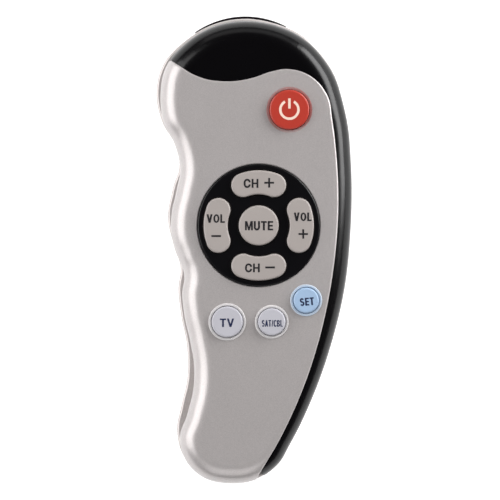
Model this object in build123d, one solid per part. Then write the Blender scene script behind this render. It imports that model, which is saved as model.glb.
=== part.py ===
from build123d import *
import math
import os

# A hand-held remote control with a wavy grip edge, lying on its back.
# All lengths are millimetres. +Z points out of the front face, +Y towards the nose that holds
# the infrared window, +X to the right. The origin is under the middle of the housing.

# Housing
BODY_LENGTH = 150.0
BODY_WIDTH = 62.6
COVER_TOP = 24.0
PARTING = 12.5
PARTING_GAP = 0.25
WALL = 2.0
COVER_ROLL = 6.0
FRAME_ROLL = 7.0
FRAME_DROP = 0.6
REAR_ROLL = 7.0
RIM_ROUND = 0.8
RIM_DEPTH = 2.4
LIP_GAP = 0.15
LIP_WALL = 0.9
LIP_HEIGHT = 1.5
SEAM_GAP = 0.12
SEAM_EDGE_ROUND = 0.5
TIP_ROUND = 1.0
LEDGE_WIDTH = 3.0
LEDGE_BITE = 1.5
LEDGE_WALL = 1.2
TAB_LENGTH = 9.0
CUT_OVERRUN = 1.0
PRISM_OVERRUN = 0.05

# Keys
KEY_GAP = 0.18
KEY_TRAVEL_ROOM = 0.8
KEY_RISE = 1.3
KEY_ROUND = 0.6
KEY_WALL = 1.1
KEY_ROOF = 1.4
FLANGE_WIDTH = 0.9
FLANGE_WALL = 0.9
FLANGE_GAP = 0.2
STEM_RADIUS = 2.2
STEM_DROP = 0.9
POWER_RADIUS = 6.4
POWER_SINK_WIDTH = 0.75
POWER_SINK_DEPTH = 0.45
TV_RADIUS = 5.0
SATELLITE_RADIUS = 4.4
SET_RADIUS = 4.1
RIM_WIDTH = 0.8
RIM_HEIGHT = 0.3
RIM_ROUND_SHARE = 0.9

# Dial
DIAL_RADIUS = 19.6
DIAL_GAP = 0.12
DIAL_RISE = 0.3
DIAL_ROUND = 0.5
DIAL_FLANGE = 1.5
DIAL_SKIRT = 0.8
MUTE_RADIUS = 6.4
ARC_KEY_RADIUS = 13.8
ARC_KEY_WIDTH = 7.7
ARC_KEY_HALF_ANGLE = 21
DIAL_HOLE_CHAMFER = 0.25
COVER_HOLE_BEVEL = 0.3

# Battery bay and its door
CELL_RADIUS = 5.25
CELL_LENGTH = 44.5
CELL_PITCH = 11.0
CELL_NUB_RADIUS = 1.9
CELL_NUB_LENGTH = 1.0
CELL_ROUND = 0.5
CELL_FLOOR_GAP = 0.2
CELL_ROOF_GAP = 0.3
BAY_SIDE_GAP = 0.4
BAY_TOP = -10.0
BAY_WALL = 1.5
BAY_ROOF = 1.2
CONTACT_WALL = 0.4
CONTACT_WIDTH = 8.6
CONTACT_TAB_WIDTH = 3.0
CONTACT_TOUCH = 0.05
DIMPLE_RADIUS = 1.5
DIMPLE_HEIGHT = 0.6
SPRING_LENGTH = 4.6
SPRING_TURNS = 4
SPRING_WIRE = 0.5
SPRING_BASE_RADIUS = 3.4
SPRING_TIP_RADIUS = 2.0
DOOR_WALL = 1.8
DOOR_GAP = 0.15
TONGUE_REACH = 1.0
TONGUE_WALL = 0.75
GROOVE_ROOM = 0.2
LAND_WALL = 1.2
THUMB_LENGTH = 12.0
THUMB_WIDTH = 16.0
THUMB_DEPTH = 0.7
THUMB_RIBS = 5
THUMB_RIB_WIDTH = 0.8
THUMB_RIB_INSET = 0.1
THUMB_BELOW_TOP = 9.0
ARROW_LENGTH = 4.5
ARROW_WIDTH = 6.5
ARROW_DEPTH = 0.35
ARROW_BELOW_GRIP = 4.0

# Board and what is on it
BOARD_WALL = 1.2
BOARD_GAP = 1.35
BOARD_INSET = 4.4
BOARD_LOW_SHARE = -0.225
MAT_WALL = 1.0
MAT_INSET = 5.6
MAT_LOW_SHARE = -0.205
MAT_HIGH_SHARE = 0.36
DOME_RADIUS = 4.0
DOME_HEIGHT = 1.2
DOME_SKIN = 0.7
PLUNGER_RADIUS = 2.0
PILL_RADIUS = 1.6
PILL_WALL = 0.5
PAD_RADIUS = 2.1
PAD_SPLIT = 0.4
PAD_WALL = 0.08

# Infrared window and its diode
WINDOW_LOW = 3.9
WINDOW_HIGH = 9.0
WINDOW_BULGE = 1.0
WINDOW_GAP = 0.12
WINDOW_FLANGE = 1.0
WINDOW_ROUND = 0.5
DIODE_RADIUS = 2.5
DIODE_COLLAR = 0.4
DIODE_COLLAR_WALL = 1.0
DIODE_LENGTH = 8.6
DIODE_WINDOW_GAP = 0.5
LEAD_WIDTH = 0.5
LEAD_PITCH = 2.54
LEAD_RUN = 2.0

# Small parts under the board
CHIP_LENGTH = 12.8
CHIP_WIDTH = 7.5
CHIP_WALL = 2.3
CHIP_LIFT = 0.2
CHIP_LEGS = 10
CHIP_LEG_PITCH = 1.27
CHIP_LEG_WIDTH = 0.45
CHIP_LEG_REACH = 1.2
CHIP_LEG_WALL = 0.25
RESONATOR_LENGTH = 7.0
RESONATOR_WIDTH = 3.0
RESONATOR_HEIGHT = 5.5
RESONATOR_LIFT = 1.2
RESONATOR_ROUND = 1.0
RESONATOR_LEADS = 3
CAPACITOR_RADIUS = 2.5
CAPACITOR_HEIGHT = 7.0
CAPACITOR_LIFT = 0.6
CAPACITOR_ROUND = 0.4
CAPACITOR_LEADS = 2
TRANSISTOR_RADIUS = 2.3
TRANSISTOR_FLAT = 1.2
TRANSISTOR_HEIGHT = 4.6
TRANSISTOR_LIFT = 2.0
RESISTOR_LENGTH = 2.0
RESISTOR_WIDTH = 1.25
RESISTOR_WALL = 0.5

# Fasteners
BOSS_RADIUS = 4.1
BOSS_TOP_GAP = 0.5
BOSS_MEET_GAP = 0.15
BORE_RADIUS = 2.7
BORE_WEB = 3.0
POST_RADIUS = 2.6
SCREW_HEAD_RADIUS = 2.2
SCREW_HEAD_HEIGHT = 1.6
SCREW_RADIUS = 1.0
SCREW_LENGTH = 9.0
SCREW_FIT = 0.02
SCREW_PASS_GAP = 0.25
SCREW_SLOT = 0.6
BOARD_POST_RADIUS = 1.9
BOARD_SCREW_RADIUS = 0.8
BOARD_SCREW_LENGTH = 5.0
BOARD_SCREW_HEAD_RADIUS = 1.7
BOARD_SCREW_HEAD_HEIGHT = 1.1
POST_CLEARANCE = 0.6

# Steps in which a coil is drawn and measured, and how pieces are set on their lower face
ARCS_A_TURN = 4
MEASURES_A_TURN = 48
HALF_WAY = 0.5
ON_LOW = (Align.CENTER, Align.CENTER, Align.MIN)

# Points of the outlines, as shares of the body's width and length, clockwise from the nose
REAR_SHARES = [
    (-0.062, 0.495), (0.108, 0.485), (0.262, 0.455), (0.390, 0.393), (0.471, 0.290),
    (0.500, 0.170), (0.497, 0.046), (0.464, -0.087), (0.400, -0.199), (0.308, -0.310),
    (0.195, -0.410), (0.113, -0.465), (0.010, -0.493), (-0.128, -0.501), (-0.257, -0.489),
    (-0.359, -0.447), (-0.396, -0.387), (-0.372, -0.333), (-0.344, -0.280), (-0.344, -0.211),
    (-0.376, -0.139), (-0.389, -0.083), (-0.378, -0.040), (-0.413, 0.007), (-0.443, 0.071),
    (-0.419, 0.129), (-0.384, 0.183), (-0.408, 0.225), (-0.472, 0.273), (-0.502, 0.330),
    (-0.469, 0.395), (-0.354, 0.448), (-0.221, 0.481),
]
FRONT_SHARES = [
    (-0.062, 0.489), (0.103, 0.481), (0.254, 0.452), (0.387, 0.391), (0.471, 0.290),
    (0.500, 0.170), (0.497, 0.046), (0.464, -0.087), (0.400, -0.199), (0.308, -0.310),
    (0.195, -0.410), (0.113, -0.465), (0.010, -0.493), (-0.128, -0.501), (-0.257, -0.489),
    (-0.351, -0.451), (-0.380, -0.408), (-0.339, -0.348), (-0.311, -0.297), (-0.308, -0.246),
    (-0.329, -0.194), (-0.358, -0.139), (-0.368, -0.094), (-0.358, -0.055), (-0.387, -0.019),
    (-0.421, 0.026), (-0.423, 0.076), (-0.399, 0.123), (-0.378, 0.174), (-0.401, 0.221),
    (-0.464, 0.273), (-0.480, 0.328), (-0.452, 0.390), (-0.344, 0.444), (-0.216, 0.476),
]
# The seam between the silver cover and the black frame, from the left edge over the wave at
# the top and down the right side; its two ends lie outside the body
SEAM_SHARES = [
    (-0.554, 0.427), (-0.457, 0.411), (-0.390, 0.394), (-0.318, 0.375), (-0.241, 0.363),
    (-0.164, 0.359), (-0.082, 0.360), (0.000, 0.367), (0.082, 0.379), (0.164, 0.385),
    (0.246, 0.379), (0.323, 0.359), (0.377, 0.327), (0.402, 0.273), (0.421, 0.204),
    (0.431, 0.131), (0.431, 0.080), (0.420, 0.007), (0.401, -0.057), (0.374, -0.121),
    (0.331, -0.196), (0.270, -0.276), (0.194, -0.353), (0.121, -0.414), (0.063, -0.455),
    (0.021, -0.485), (-0.015, -0.515),
]

# Places on the front, as shares of the body's width and length
POWER_SHARES = (0.181, 0.298)
DIAL_SHARES = (0.024, 0.051)
TV_SHARES = (-0.137, -0.155)
SATELLITE_SHARES = (0.091, -0.155)
SET_SHARES = (0.267, -0.109)
FRAME_BOSS_SHARES = [(-0.224, 0.410), (0.232, 0.407)]
COVER_BOSS_SHARES = [(-0.280, 0.180), (0.185, -0.247)]
BOARD_POST_SHARES = [(-0.280, 0.265), (0.330, 0.215), (0.316, -0.062), (-0.240, -0.090)]
BAY_SHARE = -0.070
SEAM_END_SHARES = [(-0.420, 0.400), (0.040, -0.470)]
WINDOW_SHARES = [(-0.303, 0.4675), (-0.062, 0.5012), (0.165, 0.4799)]
CHIP_SHARES = (0.03, 0.16)
RESONATOR_SHARES = (0.22, 0.19)
CAPACITOR_SHARES = (-0.20, 0.30)
TRANSISTOR_SHARES = (-0.02, 0.30)
RESISTOR_SHARES = [(-0.20, 0.02), (-0.12, 0.02), (0.10, 0.30), (0.10, 0.27), (0.20, 0.02)]

# Heights worked out from the sizes above
COVER_INSIDE = COVER_TOP - WALL
FRAME_TOP = COVER_TOP - FRAME_DROP
FRONT_BOTTOM = PARTING + PARTING_GAP
FLANGE_TOP = COVER_INSIDE - FLANGE_GAP
FLANGE_BOTTOM = FLANGE_TOP - FLANGE_WALL
STEM_BOTTOM = FLANGE_BOTTOM - STEM_DROP
CELL_AXIS = WALL + CELL_FLOOR_GAP + CELL_RADIUS
BAY_CEILING = CELL_AXIS + CELL_RADIUS + CELL_ROOF_GAP
BOARD_BOTTOM = BAY_CEILING + BAY_ROOF + BOARD_GAP
BOARD_TOP = BOARD_BOTTOM + BOARD_WALL
MAT_TOP = BOARD_TOP + MAT_WALL
BOSS_TOP = PARTING - BOSS_TOP_GAP
BORE_TOP = BOSS_TOP - BORE_WEB

# Places in the battery bay
BAY_X = BAY_SHARE * BODY_WIDTH
BAY_WIDTH = CELL_PITCH + 2 * CELL_RADIUS + 2 * BAY_SIDE_GAP
BAY_LENGTH = CELL_LENGTH + SPRING_LENGTH + 2 * CONTACT_WALL + DIMPLE_HEIGHT + 2 * CONTACT_TOUCH
BAY_BOTTOM = BAY_TOP - BAY_LENGTH
CELL_STEP = CELL_PITCH / 2
SIDE_GROOVE = TONGUE_REACH + GROOVE_ROOM


def outline_points(shares, closed):
    """Points of a smooth outline of arcs, each with the direction in which it is passed."""
    corners = [Vector(x * BODY_WIDTH, y * BODY_LENGTH) for x, y in shares]
    ways = []
    for count, corner in enumerate(corners):
        before = corner - corners[count - 1]
        after = corners[(count + 1) % len(corners)] - corner
        if not closed and count == 0:
            before = after
        if not closed and count == len(corners) - 1:
            after = before
        way = before / before.length ** 2 + after / after.length ** 2
        ways.append(way.normalized())
    passed = []
    for count in range(len(corners) if closed else len(corners) - 1):
        start, end = corners[count], corners[(count + 1) % len(corners)]
        leave, reach = ways[count], ways[(count + 1) % len(corners)]
        meet, along = arcs_meet(start, leave, end, reach)
        passed += [(start, leave), (meet, along)]
    passed.append((corners[0], ways[0]) if closed else (corners[-1], ways[-1]))
    return passed


def arcs_meet(start, leave, end, reach):
    """Point and direction in which an arc from the start passes into an arc to the end."""
    chord = end - start
    facing = leave.dot(reach) - 1
    ahead = chord.dot(leave + reach)
    arm = chord.length ** 2 / (ahead + math.sqrt(ahead ** 2 - 2 * facing * chord.length ** 2))
    near, far = start + leave * arm, end - reach * arm
    return (near + far) / 2, (far - near).normalized()


def outline(shares, inset=0.0, closed=True):
    """Chain of tangent arcs through the points, moved to its right by the inset."""
    moved = []
    for point, way in outline_points(shares, closed):
        moved.append((point + Vector(way.Y, -way.X) * inset, way))
    arcs = []
    for (start, leave), (end, reach) in zip(moved, moved[1:]):
        arcs.append(TangentArc(start, end, tangent=leave))
    return Wire(arcs)


def plan(shares, inset=0.0):
    """Flat face inside a closed outline."""
    return make_face(outline(shares, inset))


def seam_side(inset=0.0):
    """Flat face on the cover's side of the seam, reaching past the body on the left."""
    curve = outline(SEAM_SHARES, inset, closed=False)
    start, end = curve @ 0, curve @ 1
    back = Polyline(end, (-BODY_WIDTH, end.Y), (-BODY_WIDTH, start.Y), start)
    return make_face(curve.edges() + back.edges())


def prism(face, low, high):
    """Upright solid over a flat face, between two heights."""
    return extrude(Pos(0, 0, low) * face, amount=high - low)


def pillow(face, low, high, roll, top=True):
    """Upright solid whose top or bottom edge is rolled over all round."""
    solid = prism(face, low, high)
    levels = solid.edges().group_by(Axis.Z)
    return fillet(levels[-1] if top else levels[0], roll)


def block(x_low, x_high, y_low, y_high, z_low, z_high):
    """Box between two corners."""
    corner = Pos(x_low, y_low, z_low)
    low = (Align.MIN, Align.MIN, Align.MIN)
    return corner * Box(x_high - x_low, y_high - y_low, z_high - z_low, align=low)


def at_shares(shares, z=0.0):
    """Place over the front, given as shares of the body's width and length."""
    return Pos(shares[0] * BODY_WIDTH, shares[1] * BODY_LENGTH, z)


def column(radius, low, high):
    """Upright cylinder on the Z axis, between two heights."""
    return Pos(0, 0, low) * Cylinder(radius, high - low, align=ON_LOW)


def arc_key_plan(angle, width):
    """Kidney shape on a circle round the dial's centre."""
    middle = CenterArc((0, 0), ARC_KEY_RADIUS, angle - ARC_KEY_HALF_ANGLE, 2 * ARC_KEY_HALF_ANGLE)
    return SlotArc(middle, width)


def round_key_plan(radius):
    """Round key seen from the front, as a function of what is added to its width all round."""
    return lambda grow: Circle(radius + grow)


def kidney_key_plan(angle):
    """Kidney key seen from the front, as a function of what is added to its width all round."""
    return lambda grow: arc_key_plan(angle, ARC_KEY_WIDTH + 2 * grow)


ARC_ANGLES = {"channel_up": 90, "channel_down": 270, "volume_up": 0, "volume_down": 180}
COVER_KEYS = {
    "power": (POWER_SHARES, POWER_RADIUS),
    "tv": (TV_SHARES, TV_RADIUS),
    "satellite": (SATELLITE_SHARES, SATELLITE_RADIUS),
    "set": (SET_SHARES, SET_RADIUS),
}


def key_list():
    """Name, place, plan and stem place of each of the nine keys."""
    keys = []
    for name, (shares, radius) in COVER_KEYS.items():
        keys.append((name, at_shares(shares), round_key_plan(radius), Pos(0, 0)))
    keys.append(("mute", at_shares(DIAL_SHARES), round_key_plan(MUTE_RADIUS), Pos(0, 0)))
    for name, angle in ARC_ANGLES.items():
        turn = math.radians(angle)
        stem = Pos(ARC_KEY_RADIUS * math.cos(turn), ARC_KEY_RADIUS * math.sin(turn))
        keys.append((name, at_shares(DIAL_SHARES), kidney_key_plan(angle), stem))
    return keys


def key_cap(place, key_plan, stem):
    """Hollow cap with a rounded top, a flange under the cover and a stem over its dome."""
    top = COVER_TOP + KEY_RISE
    cap = pillow(key_plan(0), FLANGE_BOTTOM, top, KEY_ROUND)
    cap += prism(key_plan(FLANGE_WIDTH), FLANGE_BOTTOM, FLANGE_TOP)
    cap -= prism(key_plan(-KEY_WALL), FLANGE_BOTTOM - CUT_OVERRUN, top - KEY_ROOF)
    cap += stem * column(STEM_RADIUS, STEM_BOTTOM, top - KEY_ROOF)
    return place * cap


def contact_pill(place, stem):
    """Carbon pill that the dome presses on to the board."""
    high = BOARD_TOP + KEY_TRAVEL_ROOM + PILL_WALL
    return place * stem * column(PILL_RADIUS, high - PILL_WALL, high)


def front_region(face, cover_side):
    """Prism over one side of the seam, with its sharp ends rounded, past the walls all round."""
    whole = plan(FRONT_SHARES, -PRISM_OVERRUN)
    region = whole & face if cover_side else whole - face
    solid = prism(region, PARTING - CUT_OVERRUN, COVER_TOP + CUT_OVERRUN)
    return fillet(solid.edges().filter_by(Axis.Z), TIP_ROUND)


def soften_seam(shell):
    """Shell with its upper edges rounded where they run along the seam."""
    seam = outline(SEAM_SHARES, closed=False)
    edges = []
    for edge in shell.edges().filter_by(Axis.Z, reverse=True):
        middle = edge @ HALF_WAY
        beside = seam.distance_to(Vertex(middle.X, middle.Y))
        if middle.Z > FRONT_BOTTOM and beside < SEAM_GAP / 2:
            edges.append(edge)
    return fillet(edges, SEAM_EDGE_ROUND)


def cover_key_cuts():
    """Holes of the four keys that stand in the cover, with the power key's sunk edge."""
    cuts = []
    for name, (shares, radius) in COVER_KEYS.items():
        hole = column(radius + KEY_GAP, COVER_INSIDE - CUT_OVERRUN, COVER_TOP + CUT_OVERRUN)
        if name == "power":
            wide = radius + KEY_GAP + POWER_SINK_WIDTH
            sink = Cone(radius + KEY_GAP, wide, POWER_SINK_DEPTH, align=ON_LOW)
            hole += Pos(0, 0, COVER_TOP - POWER_SINK_DEPTH) * sink
        cuts.append(at_shares(shares) * hole)
    return cuts


def cover_rims():
    """Raised rounded rims round the three small keys."""
    rims = []
    for name, (shares, radius) in COVER_KEYS.items():
        if name == "power":
            continue
        inner = radius + KEY_GAP
        ring = prism(Circle(inner + RIM_WIDTH) - Circle(inner), COVER_INSIDE, COVER_TOP + RIM_HEIGHT)
        ring = fillet(ring.edges().group_by(Axis.Z)[-1], RIM_ROUND_SHARE * RIM_HEIGHT)
        rims.append(at_shares(shares) * ring)
    return rims


def case_post(shares, top):
    """Post that a case screw is driven into."""
    post = column(POST_RADIUS, BOSS_TOP + BOSS_MEET_GAP, top)
    hole_top = BORE_TOP + SCREW_LENGTH + SCREW_PASS_GAP
    post -= column(SCREW_RADIUS + SCREW_FIT, BORE_TOP, hole_top)
    return at_shares(shares) * post


def board_post(shares):
    """Post under the cover that the board is screwed to."""
    post = column(BOARD_POST_RADIUS, BOARD_TOP, COVER_INSIDE)
    hole_top = BOARD_BOTTOM + BOARD_SCREW_LENGTH + SCREW_PASS_GAP
    post -= column(BOARD_SCREW_RADIUS + SCREW_FIT, BOARD_BOTTOM, hole_top)
    return at_shares(shares) * post


def front_cover():
    """Silver cover: a rolled shell cut along the seam, with key holes, rims and posts."""
    shell = pillow(plan(FRONT_SHARES), FRONT_BOTTOM, COVER_TOP, COVER_ROLL)
    shell = soften_seam(shell & front_region(seam_side(), cover_side=True))
    shell -= cover_hollow()
    shell += cover_rims()
    shell -= cover_key_cuts()
    hole = DIAL_RADIUS + DIAL_GAP
    bevel = Cone(hole, hole + COVER_HOLE_BEVEL, COVER_HOLE_BEVEL, align=ON_LOW)
    dial_hole = column(hole, PARTING, COVER_TOP) + Pos(0, 0, COVER_TOP - COVER_HOLE_BEVEL) * bevel
    shell -= at_shares(DIAL_SHARES) * dial_hole
    shell += [case_post(shares, COVER_TOP - WALL / 2) for shares in COVER_BOSS_SHARES]
    shell += [board_post(shares) for shares in BOARD_POST_SHARES]
    return shell


def cover_hollow():
    """Space under the silver cover, with a rolled edge inside its own."""
    return pillow(plan(FRONT_SHARES, WALL), PARTING, COVER_INSIDE, COVER_ROLL - WALL)


def frame_ledge():
    """Ledge under the cover's edge, cut clear round the dial and the keys."""
    band = seam_side(-LEDGE_BITE) - seam_side(LEDGE_WIDTH)
    band &= plan(FRONT_SHARES, WALL + LIP_GAP + LIP_WALL + LIP_GAP)
    ledge = prism(band, COVER_INSIDE - LEDGE_WALL, COVER_INSIDE) & cover_hollow()
    low, high = PARTING, COVER_TOP
    dial = DIAL_RADIUS + DIAL_FLANGE + DIAL_GAP
    ledge -= at_shares(DIAL_SHARES) * column(dial, low, high)
    for shares, radius in COVER_KEYS.values():
        ledge -= at_shares(shares) * column(radius + FLANGE_WIDTH + SCREW_PASS_GAP, low, high)
    return ledge


def seam_tabs():
    """Tabs of the frame behind the cover's wall, where the seam's two ends meet the edge."""
    inner = WALL + LIP_GAP
    band = plan(FRONT_SHARES, inner) - plan(FRONT_SHARES, inner + LEDGE_WALL)
    low = PARTING + LIP_HEIGHT + LIP_GAP
    ring = prism(band, low, COVER_INSIDE - LEDGE_WALL / 2) & cover_hollow()
    half = TAB_LENGTH / 2
    box = block(-half, half, -half, half, low, COVER_INSIDE)
    return [ring & at_shares(shares) * box for shares in SEAM_END_SHARES]


def front_frame():
    """Black nose and right-hand band in one shell, with the ledge that carries the cover."""
    frame = pillow(plan(FRONT_SHARES), FRONT_BOTTOM, FRAME_TOP, FRAME_ROLL)
    frame &= front_region(seam_side(-SEAM_GAP), cover_side=False)
    frame -= pillow(plan(FRONT_SHARES, WALL), PARTING, FRAME_TOP - WALL, FRAME_ROLL - WALL)
    frame += frame_ledge()
    frame += seam_tabs()
    frame += [case_post(shares, FRAME_TOP - WALL / 2) for shares in FRAME_BOSS_SHARES]
    return frame


def dial_plate():
    """Round plate with a flange under the cover and openings for its five keys."""
    top = COVER_TOP + DIAL_RISE
    dial = pillow(Circle(DIAL_RADIUS), FLANGE_BOTTOM, top, DIAL_ROUND)
    dial += column(DIAL_RADIUS + DIAL_FLANGE, FLANGE_BOTTOM, COVER_INSIDE - DIAL_GAP)
    dial -= column(DIAL_RADIUS - DIAL_SKIRT, FLANGE_BOTTOM - CUT_OVERRUN, COVER_INSIDE)
    holes = [Circle(MUTE_RADIUS + KEY_GAP)]
    holes += [arc_key_plan(angle, ARC_KEY_WIDTH + 2 * KEY_GAP) for angle in ARC_ANGLES.values()]
    dial -= [prism(hole, COVER_INSIDE - CUT_OVERRUN, top + CUT_OVERRUN) for hole in holes]
    hole_edges = dial.edges().group_by(Axis.Z)[-1].sort_by(SortBy.LENGTH)[:-1]
    return at_shares(DIAL_SHARES) * chamfer(hole_edges, DIAL_HOLE_CHAMFER)


def rear_hollow():
    """Space inside the rear shell: wide below, narrower behind the rim and its lip."""
    wide = plan(REAR_SHARES, WALL)
    hollow = pillow(wide, WALL, PARTING - RIM_DEPTH, REAR_ROLL - WALL, top=False)
    narrow = plan(FRONT_SHARES, WALL + LIP_GAP + LIP_WALL)
    return hollow, prism(narrow, PARTING - RIM_DEPTH, PARTING + LIP_HEIGHT + CUT_OVERRUN)


def bay_box(side, end, low, high):
    """Box about the battery bay, grown sideways and at its ends."""
    x_low = BAY_X - BAY_WIDTH / 2 - side
    x_high = BAY_X + BAY_WIDTH / 2 + side
    return block(x_low, x_high, BAY_BOTTOM - end, BAY_TOP + end, low, high)


def rear_boss(shares):
    """Boss round a case screw, with a deep bore from the back."""
    return at_shares(shares) * column(BOSS_RADIUS, WALL / 2, BOSS_TOP)


def rear_boss_bores(shares):
    """Bore for a case screw's head and the hole for its shank."""
    bore = column(BORE_RADIUS, -CUT_OVERRUN, BORE_TOP)
    bore += column(SCREW_RADIUS + SCREW_PASS_GAP, 0, BOSS_TOP + CUT_OVERRUN)
    return at_shares(shares) * bore


def door_slot():
    """Space that the battery door slides out of, with a groove at each side."""
    half = BAY_WIDTH / 2
    end = -BODY_LENGTH
    slot = block(BAY_X - half, BAY_X + half, end, BAY_TOP, -CUT_OVERRUN, WALL)
    grooves_half = half + SIDE_GROOVE
    low = DOOR_WALL - TONGUE_WALL - GROOVE_ROOM / 2
    return slot + block(BAY_X - grooves_half, BAY_X + grooves_half, end, BAY_TOP, low, WALL)


def window_box(side, grow):
    """Box round the window, grown sideways and up and down."""
    left, middle, right = [at_shares(shares).position for shares in WINDOW_SHARES]
    behind = left.Y - WALL - WINDOW_FLANGE - WINDOW_BULGE
    return block(left.X - side, right.X + side, behind, middle.Y, WINDOW_LOW - grow, WINDOW_HIGH + grow)


def contact_slots():
    """Slots in the bay's roof for the tabs of the two contacts at its upper end."""
    half = CONTACT_TAB_WIDTH / 2 + DOOR_GAP
    slots = []
    for side in (-1, 1):
        x = BAY_X + side * CELL_STEP
        y_low = BAY_TOP - CONTACT_WALL - DOOR_GAP
        slots.append(block(x - half, x + half, y_low, BAY_TOP, CELL_AXIS, BOARD_BOTTOM))
    return slots


def rear_shell():
    """Rear half: rolled shell with rim and lip, battery bay, bosses and window opening."""
    outside = pillow(plan(REAR_SHARES), 0, PARTING, REAR_ROLL, top=False)
    shell = fillet(outside.edges().group_by(Axis.Z)[-1], RIM_ROUND)
    lip = plan(FRONT_SHARES, WALL + LIP_GAP)
    shell += prism(lip, PARTING - RIM_ROUND, PARTING + LIP_HEIGHT)
    for hollow in rear_hollow():
        shell -= hollow
    land = bay_box(BAY_WALL, BODY_LENGTH, WALL, WALL + LAND_WALL)
    land &= block(-BODY_WIDTH, BODY_WIDTH, -BODY_LENGTH, BAY_BOTTOM, 0, PARTING)
    shell += land & outside
    shell += bay_box(BAY_WALL, BAY_WALL, WALL / 2, BAY_CEILING + BAY_ROOF)
    bosses = FRAME_BOSS_SHARES + COVER_BOSS_SHARES
    shell += [rear_boss(shares) for shares in bosses]
    shell -= [rear_boss_bores(shares) for shares in bosses]
    shell -= bay_box(0, 0, WALL, BAY_CEILING)
    shell -= contact_slots()
    shell -= door_slot()
    return shell - window_box(WINDOW_GAP, WINDOW_GAP)


def door_arrow(y):
    """Arrowhead pressed into the door, with its base at y, pointing the way it slides off."""
    left, right = (BAY_X - ARROW_WIDTH / 2, y), (BAY_X + ARROW_WIDTH / 2, y)
    head = Polyline(left, right, (BAY_X, y - ARROW_LENGTH), left)
    return prism(make_face(head), 0, ARROW_DEPTH)


def battery_door():
    """Door over the battery bay: tongued edges, a dished grip with ribs, rolled lower end."""
    half = BAY_WIDTH / 2 - DOOR_GAP
    top = BAY_TOP - DOOR_GAP
    door = pillow(plan(REAR_SHARES), 0, PARTING, REAR_ROLL, top=False)
    door &= block(BAY_X - half, BAY_X + half, -BODY_LENGTH, top, 0, DOOR_WALL)
    reach = half + TONGUE_REACH
    low = DOOR_WALL - TONGUE_WALL
    door += block(BAY_X - reach, BAY_X + reach, BAY_BOTTOM, top, low, DOOR_WALL)
    middle = top - THUMB_BELOW_TOP
    door -= Pos(BAY_X, middle, 0) * prism(Ellipse(THUMB_WIDTH / 2, THUMB_LENGTH / 2), 0, THUMB_DEPTH)
    step = THUMB_LENGTH / (THUMB_RIBS + 1)
    for count in range(THUMB_RIBS):
        y = middle - THUMB_LENGTH / 2 + step * (count + 1)
        across = (2 * (y - middle) / THUMB_LENGTH) ** 2
        reach = THUMB_WIDTH / 2 * math.sqrt(1 - across)
        rib = THUMB_RIB_WIDTH / 2
        door += block(BAY_X - reach, BAY_X + reach, y - rib, y + rib, THUMB_RIB_INSET, THUMB_DEPTH)
    return door - door_arrow(middle - THUMB_LENGTH / 2 - ARROW_BELOW_GRIP)


def infrared_window():
    """Dark window: a face that swells out of the nose and a flange behind the wall."""
    left, middle, right = [at_shares(shares).position for shares in WINDOW_SHARES]
    behind = left.Y - WALL - WINDOW_FLANGE - WINDOW_BULGE
    swell = ThreePointArc(left, middle, right)
    back = Polyline(right, (right.X, behind), (left.X, behind), left)
    front = prism(make_face(swell.edges() + back.edges()), WINDOW_LOW, WINDOW_HIGH)
    front = fillet(front.edges().filter_by(GeomType.CIRCLE), WINDOW_ROUND)
    inside = WALL + WINDOW_GAP
    roll = REAR_ROLL - inside
    flange = pillow(plan(REAR_SHARES, inside), inside, PARTING, roll, top=False)
    window = front + (flange & window_box(WINDOW_FLANGE, WINDOW_FLANGE))
    inner = plan(REAR_SHARES, inside + WINDOW_FLANGE)
    return window - prism(inner, 0, PARTING)


def infrared_diode():
    """Diode that looks out through the window, with its two leads bent up to the board."""
    middle = at_shares(WINDOW_SHARES[1]).position
    tip = middle.Y - WINDOW_BULGE - WALL - WINDOW_GAP - WINDOW_FLANGE - DIODE_WINDOW_GAP
    axis = (WINDOW_LOW + WINDOW_HIGH) / 2
    straight = DIODE_LENGTH - DIODE_RADIUS
    body = column(DIODE_RADIUS, 0, straight) + Pos(0, 0, straight) * Sphere(DIODE_RADIUS)
    body += column(DIODE_RADIUS + DIODE_COLLAR, 0, DIODE_COLLAR_WALL)
    base = tip - DIODE_LENGTH
    diode = Pos(middle.X, base, axis) * Rot(-90, 0, 0) * body
    half = LEAD_WIDTH / 2
    for side in (-1, 1):
        x = middle.X + side * LEAD_PITCH / 2
        diode += block(x - half, x + half, base - LEAD_RUN, base, axis - half, axis + half)
        diode += block(x - half, x + half, base - LEAD_RUN, base - LEAD_RUN + LEAD_WIDTH,
                       axis - half, BOARD_BOTTOM)
    return diode


def across_body(low_share, high_share, low, high):
    """Box over the whole width of the body, between two shares of its length."""
    y_low, y_high = low_share * BODY_LENGTH, high_share * BODY_LENGTH
    return block(-BODY_WIDTH, BODY_WIDTH, y_low, y_high, low, high)


def case_post_room():
    """Room round the posts of the case screws, right through board and mat."""
    room = POST_RADIUS + POST_CLEARANCE
    posts = FRAME_BOSS_SHARES + COVER_BOSS_SHARES
    return [at_shares(shares) * column(room, PARTING, COVER_TOP) for shares in posts]


def circuit_board():
    """Board that follows the front's outline, with holes for posts and screws."""
    board = prism(plan(FRONT_SHARES, BOARD_INSET), BOARD_BOTTOM, BOARD_TOP)
    board &= across_body(BOARD_LOW_SHARE, 1, PARTING, COVER_TOP)
    board -= case_post_room()
    hole = column(BOARD_SCREW_RADIUS + SCREW_PASS_GAP, PARTING, COVER_TOP)
    return board - [at_shares(shares) * hole for shares in BOARD_POST_SHARES]


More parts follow.
